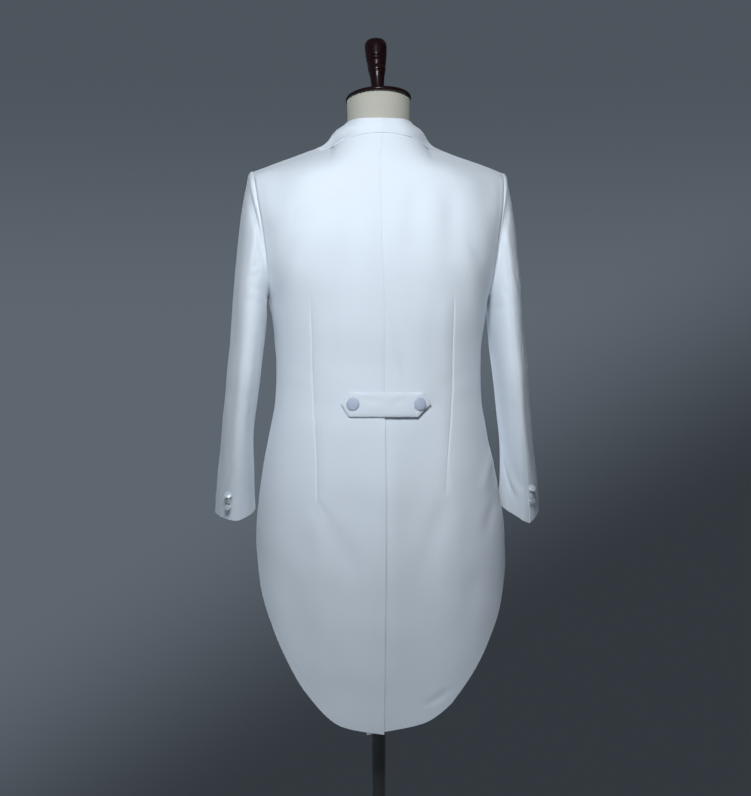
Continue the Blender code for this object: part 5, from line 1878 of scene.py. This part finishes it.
def turned_piece(name, profile, steps, place, material):
    """A turned piece from its profile of radii and heights, down its outer side, moved to its place."""
    shape = bmesh.new()
    rings = []
    for radius, height in profile:
        if radius == 0:
            rings.append([shape.verts.new(place @ Vector((0, 0, height)))])
            continue
        ring = []
        for i in range(steps):
            angle = 2 * math.pi * i / steps
            spot = Vector((radius * math.cos(angle), radius * math.sin(angle), height))
            ring.append(shape.verts.new(place @ spot))
        rings.append(ring)
    for upper, lower in zip(rings, rings[1:]):
        for i in range(steps):
            j = (i + 1) % steps
            if len(upper) == 1:
                shape.faces.new((upper[0], lower[i], lower[j]))
            elif len(lower) == 1:
                shape.faces.new((upper[i], lower[0], upper[j]))
            else:
                shape.faces.new((upper[i], lower[i], lower[j], upper[j]))
    mesh = finished_mesh(name, shape, material)
    mesh.shade_smooth()
    mesh.set_sharp_from_angle(angle=math.radians(40))
    return linked(name, mesh)


def smooth_profile(profile, spacing):
    """A profile with more points between its own, along straight runs."""
    finer = [profile[0]]
    for start, end in zip(profile, profile[1:]):
        parts = max(1, math.ceil(math.dist(start, end) / spacing))
        for i in range(1, parts + 1):
            finer.append(tuple(a + (b - a) * i / parts for a, b in zip(start, end)))
    return finer


def build_head(material):
    """The wooden cap on the neck and the turned knob on it, both square to the sloping neck."""
    slope = Matrix.Rotation(math.radians(NECK_SLOPE), 4, "X")
    turn = slope @ Matrix.Rotation(math.radians(HEAD_LEAN), 4, "Y")
    foot = Matrix.Translation((0, -0.0006, CAP_FOOT)) @ turn
    rim = CAP_HEIGHT / 2
    cap = [(0, CAP_HEIGHT), (CAP_RADIUS - rim, CAP_HEIGHT)]
    for i in range(1, 14):
        angle = math.pi / 2 - math.pi * i / 14
        cap.append((CAP_RADIUS - rim + rim * math.cos(angle), rim + rim * math.sin(angle)))
    cap += [(CAP_RADIUS - rim, 0), (0, 0)]
    finer = smooth_profile(cap, 0.012)
    placed(turned_piece("neck_cap_wood", finer, 120, foot, material), "neck_cap")
    lifted = foot @ Matrix.Translation((0, 0, CAP_HEIGHT + KNOB_LIFT))
    taller = [(radius, height * KNOB_STRETCH) for radius, height in KNOB]
    knob = turned_piece("neck_knob_wood", taller, 72, lifted, material)
    placed(knob, "neck_knob")


def build_stand(material):
    """The pole and the round base that carry the form."""
    bottom = BASE[0][1] + POLE_GAP
    top = FORM[0][0] - POLE_GAP
    bevel = 0.0006
    pole = [
        (0, top),
        (POLE_RADIUS - bevel, top),
        (POLE_RADIUS, top - bevel),
        (POLE_RADIUS, bottom + bevel),
        (POLE_RADIUS - bevel, bottom),
        (0, bottom),
    ]
    pole = turned_piece("pole_painted", smooth_profile(pole, 0.05), 64, Matrix(), material)
    placed(pole, "pole")
    base = turned_piece("base_painted", smooth_profile(BASE, 0.012), 144, Matrix(), material)
    placed(base, "base")


# ---- stage ---------------------------------------------------------------------------------------


def area_light(name, place, aim, size, power, colour):
    """A soft round light, kept out of what shines unless its maker lets it show."""
    lamp = bpy.data.lights.new(name, "AREA")
    lamp.shape = "DISK"
    lamp.size = size
    lamp.energy = power
    lamp.color = colour
    light = linked(name, lamp)
    light.location = place
    light.rotation_euler = (Vector(aim) - Vector(place)).to_track_quat("-Z", "Y").to_euler()
    light.visible_glossy = False
    return light


def build_world(settings):
    """A plain slate backdrop, a little lighter to the upper left and darker low down."""
    world = bpy.data.worlds.new("Studio")
    bpy.context.scene.world = world
    world.use_nodes = True
    graph = Graph(world.node_tree)
    way = graph.node("ShaderNodeTexCoord", out="Generated")
    parts = graph.node("ShaderNodeSeparateXYZ", None, {0: way}).socket.node
    x, z = Wire(graph, parts.outputs[0]), Wire(graph, parts.outputs[2])
    low = graph.node(
        "ShaderNodeMapRange",
        {"interpolation_type": "SMOOTHSTEP"},
        {"Value": z + x * 0.6, "From Min": -0.225, "From Max": -0.06, "To Min": 0.30, "To Max": 1.0},
    )
    high = graph.node(
        "ShaderNodeMapRange",
        {"interpolation_type": "SMOOTHSTEP"},
        {"Value": z, "From Min": 0.03, "From Max": 0.17, "To Min": 1.0, "To Max": 0.68},
    )
    colour = (*settings.backdrop_colour, 1)
    background = graph.node("ShaderNodeBackground", None, {"Color": colour, "Strength": low * high})
    graph.node("ShaderNodeOutputWorld", None, {"Surface": background})


def build_camera(settings):
    """The camera, level and straight behind the coat, a little to the wearer's left."""
    turn = math.radians(settings.view_azimuth)
    right = Vector((math.cos(turn), math.sin(turn), 0))
    back = Vector((math.sin(turn), -math.cos(turn), 0))
    lens = bpy.data.cameras.new("Camera")
    lens.sensor_width = 36.0
    lens.lens = settings.focal_length
    lens.shift_y = settings.rise
    camera = linked("Camera", lens)
    aim = Vector((0, 0, settings.view_height)) - right * settings.view_aside
    camera.location = aim + back * settings.view_distance
    camera.rotation_euler = (-back).to_track_quat("-Z", "Y").to_euler()
    bpy.context.scene.camera = camera


def build_stage(settings, material):
    """The floor, the soft lights, the backdrop and the camera."""
    shape = bmesh.new()
    bmesh.ops.create_circle(shape, cap_ends=True, cap_tris=True, segments=160, radius=settings.floor_radius)
    floor = linked("floor", finished_mesh("floor", shape, material))
    power = settings.light_power
    cool = (0.885, 0.952, 1.0)
    key = area_light("Key", (0.25, 1.60, 2.00), (0.02, 0.10, 1.37), 0.6, power * 0.365, cool)
    key.data.spread = math.radians(105)
    glint = area_light("Glint", (0.14, 1.62, 1.98), (0.0, 0.0, 1.60), 0.36, power * 0.45, cool)
    glint.visible_glossy = True
    glint.visible_diffuse = False
    area_light("Fill", (1.90, 3.00, 1.20), (0.0, 0.0, 0.95), 1.8, power * 0.14, (0.58, 0.82, 1.0))
    area_light("Front key", (-0.80, -2.80, 2.50), (0.0, 0.0, 1.10), 1.4, power * 2.60, cool)
    area_light("Front fill", (1.60, -2.40, 1.50), (0.0, 0.0, 1.00), 1.8, power * 0.60, cool)
    build_world(settings)
    build_camera(settings)
    bpy.context.scene.view_settings.view_transform = "Standard"


# ---- settings ------------------------------------------------------------------------------------


def colour_property(name, description, default):
    """A property for a colour."""
    return bpy.props.FloatVectorProperty(
        name=name, description=description, subtype="COLOR", size=3, min=0, max=1, default=default
    )


class CoatSettings(bpy.types.PropertyGroup):
    suiting_colour: colour_property("Suiting", "Colour of the coat's cloth", SLOT_COLOUR["suiting"])
    button_colour: colour_property(
        "Buttons", "Colour of the satin over the buttons", SLOT_COLOUR["button_satin"]
    )
    thread_colour: colour_property("Thread", "Colour of the visible stitches", (0.82, 0.85, 0.90))
    weave_pitch: bpy.props.FloatProperty(
        name="Weave pitch", description="Distance between the cloth's ridges", unit="LENGTH",
        default=0.0006, min=0.0002, max=0.005, precision=5,
    )
    fold_depth: bpy.props.FloatProperty(
        name="Fold depth", description="How boldly the soft folds stand out", subtype="FACTOR",
        default=1.5, min=0.0, max=3.0,
    )
    stitch_pitch: bpy.props.FloatProperty(
        name="Stitch pitch", description="Distance from one pick stitch to the next", unit="LENGTH",
        default=0.006, min=0.001, max=0.02, precision=4,
    )
    stitch_inset: bpy.props.FloatProperty(
        name="Stitch inset", description="Distance of the pick stitches from the edge", unit="LENGTH",
        default=0.0045, min=0.001, max=0.02, precision=4,
    )


class FormSettings(bpy.types.PropertyGroup):
    linen_colour: colour_property("Linen", "Colour of the form's linen", shaded(SLOT_COLOUR["linen"], 0.80))
    wood_colour: colour_property("Wood", "Colour of the cap and the knob", (0.012, 0.0016, 0.0022))
    steel_colour: colour_property("Paint", "Colour of the pole and the base", SLOT_COLOUR["painted_steel"])


class StageSettings(bpy.types.PropertyGroup):
    floor_colour: colour_property("Floor", "Colour of the floor", (0.55, 0.56, 0.57))
    floor_radius: bpy.props.FloatProperty(
        name="Floor radius", description="Radius of the round floor", unit="LENGTH",
        default=1.45, min=0.5, max=5,
    )
    backdrop_colour: colour_property(
        "Backdrop", "Colour of the backdrop where it is lightest", (0.112, 0.134, 0.162)
    )
    light_power: bpy.props.FloatProperty(
        name="Light", description="Power of the main light, in watts", default=25.5, min=0, max=1000
    )
    view_azimuth: bpy.props.FloatProperty(
        name="Azimuth", description="Way round the coat that the camera stands, in degrees", default=174.5
    )
    view_distance: bpy.props.FloatProperty(
        name="Distance", description="From the middle of the coat to the camera", unit="LENGTH", default=3.4
    )
    view_height: bpy.props.FloatProperty(
        name="Height", description="Height of the camera", unit="LENGTH", default=1.07
    )
    view_aside: bpy.props.FloatProperty(
        name="Aside", description="How far the camera stands to the left of the coat's middle", unit="LENGTH",
        default=0.0054, precision=4,
    )
    focal_length: bpy.props.FloatProperty(
        name="Focal length", description="Of the camera, in millimetres", default=85.43, min=10, max=300
    )
    rise: bpy.props.FloatProperty(
        name="Rise", description="Vertical shift of the lens", default=-0.0088, precision=4
    )


# ---- operators -----------------------------------------------------------------------------------


def suiting(context):
    return material_named("White suiting", suiting_finish, context.scene.tailcoat)


class TAILCOAT_OT_backs(bpy.types.Operator):
    """Build the two half backs with their tails"""

    bl_idname = "tailcoat.backs"
    bl_label = "Backs and tails"

    def execute(self, context):
        for side in (1, -1):
            build_back(side, context.scene.tailcoat, suiting(context))
        return {"FINISHED"}


class TAILCOAT_OT_fronts(bpy.types.Operator):
    """Build the two fronts"""

    bl_idname = "tailcoat.fronts"
    bl_label = "Fronts"

    def execute(self, context):
        for side in (1, -1):
            build_front(side, context.scene.tailcoat, suiting(context))
        return {"FINISHED"}


class TAILCOAT_OT_lapels(bpy.types.Operator):
    """Build the two peaked lapels"""

    bl_idname = "tailcoat.lapels"
    bl_label = "Lapels"

    def execute(self, context):
        for side in (1, -1):
            build_lapel(side, context.scene.tailcoat, suiting(context))
        return {"FINISHED"}


class TAILCOAT_OT_collar(bpy.types.Operator):
    """Build the folded collar"""

    bl_idname = "tailcoat.collar"
    bl_label = "Collar"

    def execute(self, context):
        build_collar(suiting(context))
        return {"FINISHED"}


class TAILCOAT_OT_sleeves(bpy.types.Operator):
    """Build the top and the under piece of each sleeve"""

    bl_idname = "tailcoat.sleeves"
    bl_label = "Sleeves"

    def execute(self, context):
        for side in (1, -1):
            for part in ("top", "under"):
                build_sleeve(side, part, context.scene.tailcoat, suiting(context))
        return {"FINISHED"}


class TAILCOAT_OT_half_belt(bpy.types.Operator):
    """Build the half belt across the back waist"""

    bl_idname = "tailcoat.half_belt"
    bl_label = "Half belt"

    def execute(self, context):
        build_belt(context.scene.tailcoat, suiting(context))
        return {"FINISHED"}


class TAILCOAT_OT_buttons(bpy.types.Operator):
    """Build the covered buttons"""

    bl_idname = "tailcoat.buttons"
    bl_label = "Buttons"

    def execute(self, context):
        settings = context.scene.tailcoat
        satin = material_named("Covered button satin", satin_finish, settings)
        build_buttons(satin, material_named("Silver satin", gloss_finish, settings))
        return {"FINISHED"}


class TAILCOAT_OT_stitches(bpy.types.Operator):
    """Sew the pick stitches and the buttonhole"""

    bl_idname = "tailcoat.stitches"
    bl_label = "Stitches and buttonhole"

    def execute(self, context):
        settings = context.scene.tailcoat
        build_stitches(settings, material_named("Silk thread", thread_finish, settings))
        return {"FINISHED"}


class TAILCOAT_OT_form(bpy.types.Operator):
    """Build the linen dress form"""

    bl_idname = "tailcoat.form"
    bl_label = "Dress form"

    def execute(self, context):
        settings = context.scene.tailcoat_form
        build_form(material_named("Cream linen", linen_finish, settings))
        return {"FINISHED"}


class TAILCOAT_OT_head(bpy.types.Operator):
    """Build the wooden cap and its knob"""

    bl_idname = "tailcoat.head"
    bl_label = "Cap and knob"

    def execute(self, context):
        settings = context.scene.tailcoat_form
        build_head(material_named("Lacquered dark wood", wood_finish, settings))
        return {"FINISHED"}


class TAILCOAT_OT_stand(bpy.types.Operator):
    """Build the pole and the round base"""

    bl_idname = "tailcoat.stand"
    bl_label = "Pole and base"

    def execute(self, context):
        settings = context.scene.tailcoat_form
        build_stand(material_named("Black painted steel", steel_finish, settings))
        return {"FINISHED"}


class TAILCOAT_OT_stage(bpy.types.Operator):
    """Set the floor, the lights, the backdrop and the camera"""

    bl_idname = "tailcoat.stage"
    bl_label = "Studio"

    def execute(self, context):
        settings = context.scene.tailcoat_stage
        build_stage(settings, material_named("Pale floor", floor_finish, settings))
        return {"FINISHED"}


OPERATORS = (
    TAILCOAT_OT_backs,
    TAILCOAT_OT_fronts,
    TAILCOAT_OT_lapels,
    TAILCOAT_OT_collar,
    TAILCOAT_OT_sleeves,
    TAILCOAT_OT_half_belt,
    TAILCOAT_OT_buttons,
    TAILCOAT_OT_stitches,
    TAILCOAT_OT_form,
    TAILCOAT_OT_head,
    TAILCOAT_OT_stand,
    TAILCOAT_OT_stage,
)


class TAILCOAT_PT_panel(bpy.types.Panel):
    """The sizes and colours of the tailcoat, and the steps that build it"""

    bl_label = "Tailcoat"
    bl_idname = "TAILCOAT_PT_panel"
    bl_space_type = "VIEW_3D"
    bl_region_type = "UI"
    bl_category = "Tailcoat"

    def draw(self, context):
        scene = context.scene
        groups = {"Coat": scene.tailcoat, "Form": scene.tailcoat_form, "Studio": scene.tailcoat_stage}
        for label, group in groups.items():
            box = self.layout.box()
            box.label(text=label)
            for name in group.__annotations__:
                box.prop(group, name)
        column = self.layout.column()
        for operator in OPERATORS:
            column.operator(operator.bl_idname)


CLASSES = (CoatSettings, FormSettings, StageSettings, *OPERATORS, TAILCOAT_PT_panel)


def register():
    for item in CLASSES:
        bpy.utils.register_class(item)
    bpy.types.Scene.tailcoat = bpy.props.PointerProperty(type=CoatSettings)
    bpy.types.Scene.tailcoat_form = bpy.props.PointerProperty(type=FormSettings)
    bpy.types.Scene.tailcoat_stage = bpy.props.PointerProperty(type=StageSettings)


def unregister():
    del bpy.types.Scene.tailcoat_stage
    del bpy.types.Scene.tailcoat_form
    del bpy.types.Scene.tailcoat
    for item in reversed(CLASSES):
        bpy.utils.unregister_class(item)


def main():
    register()
    bpy.ops.tailcoat.backs()
    bpy.ops.tailcoat.fronts()
    bpy.ops.tailcoat.lapels()
    bpy.ops.tailcoat.collar()
    bpy.ops.tailcoat.sleeves()
    bpy.ops.tailcoat.half_belt()
    bpy.ops.tailcoat.buttons()
    bpy.ops.tailcoat.stitches()
    bpy.ops.tailcoat.form()
    bpy.ops.tailcoat.head()
    bpy.ops.tailcoat.stand()
    bpy.ops.tailcoat.stage()


if __name__ == "__main__":
    main()
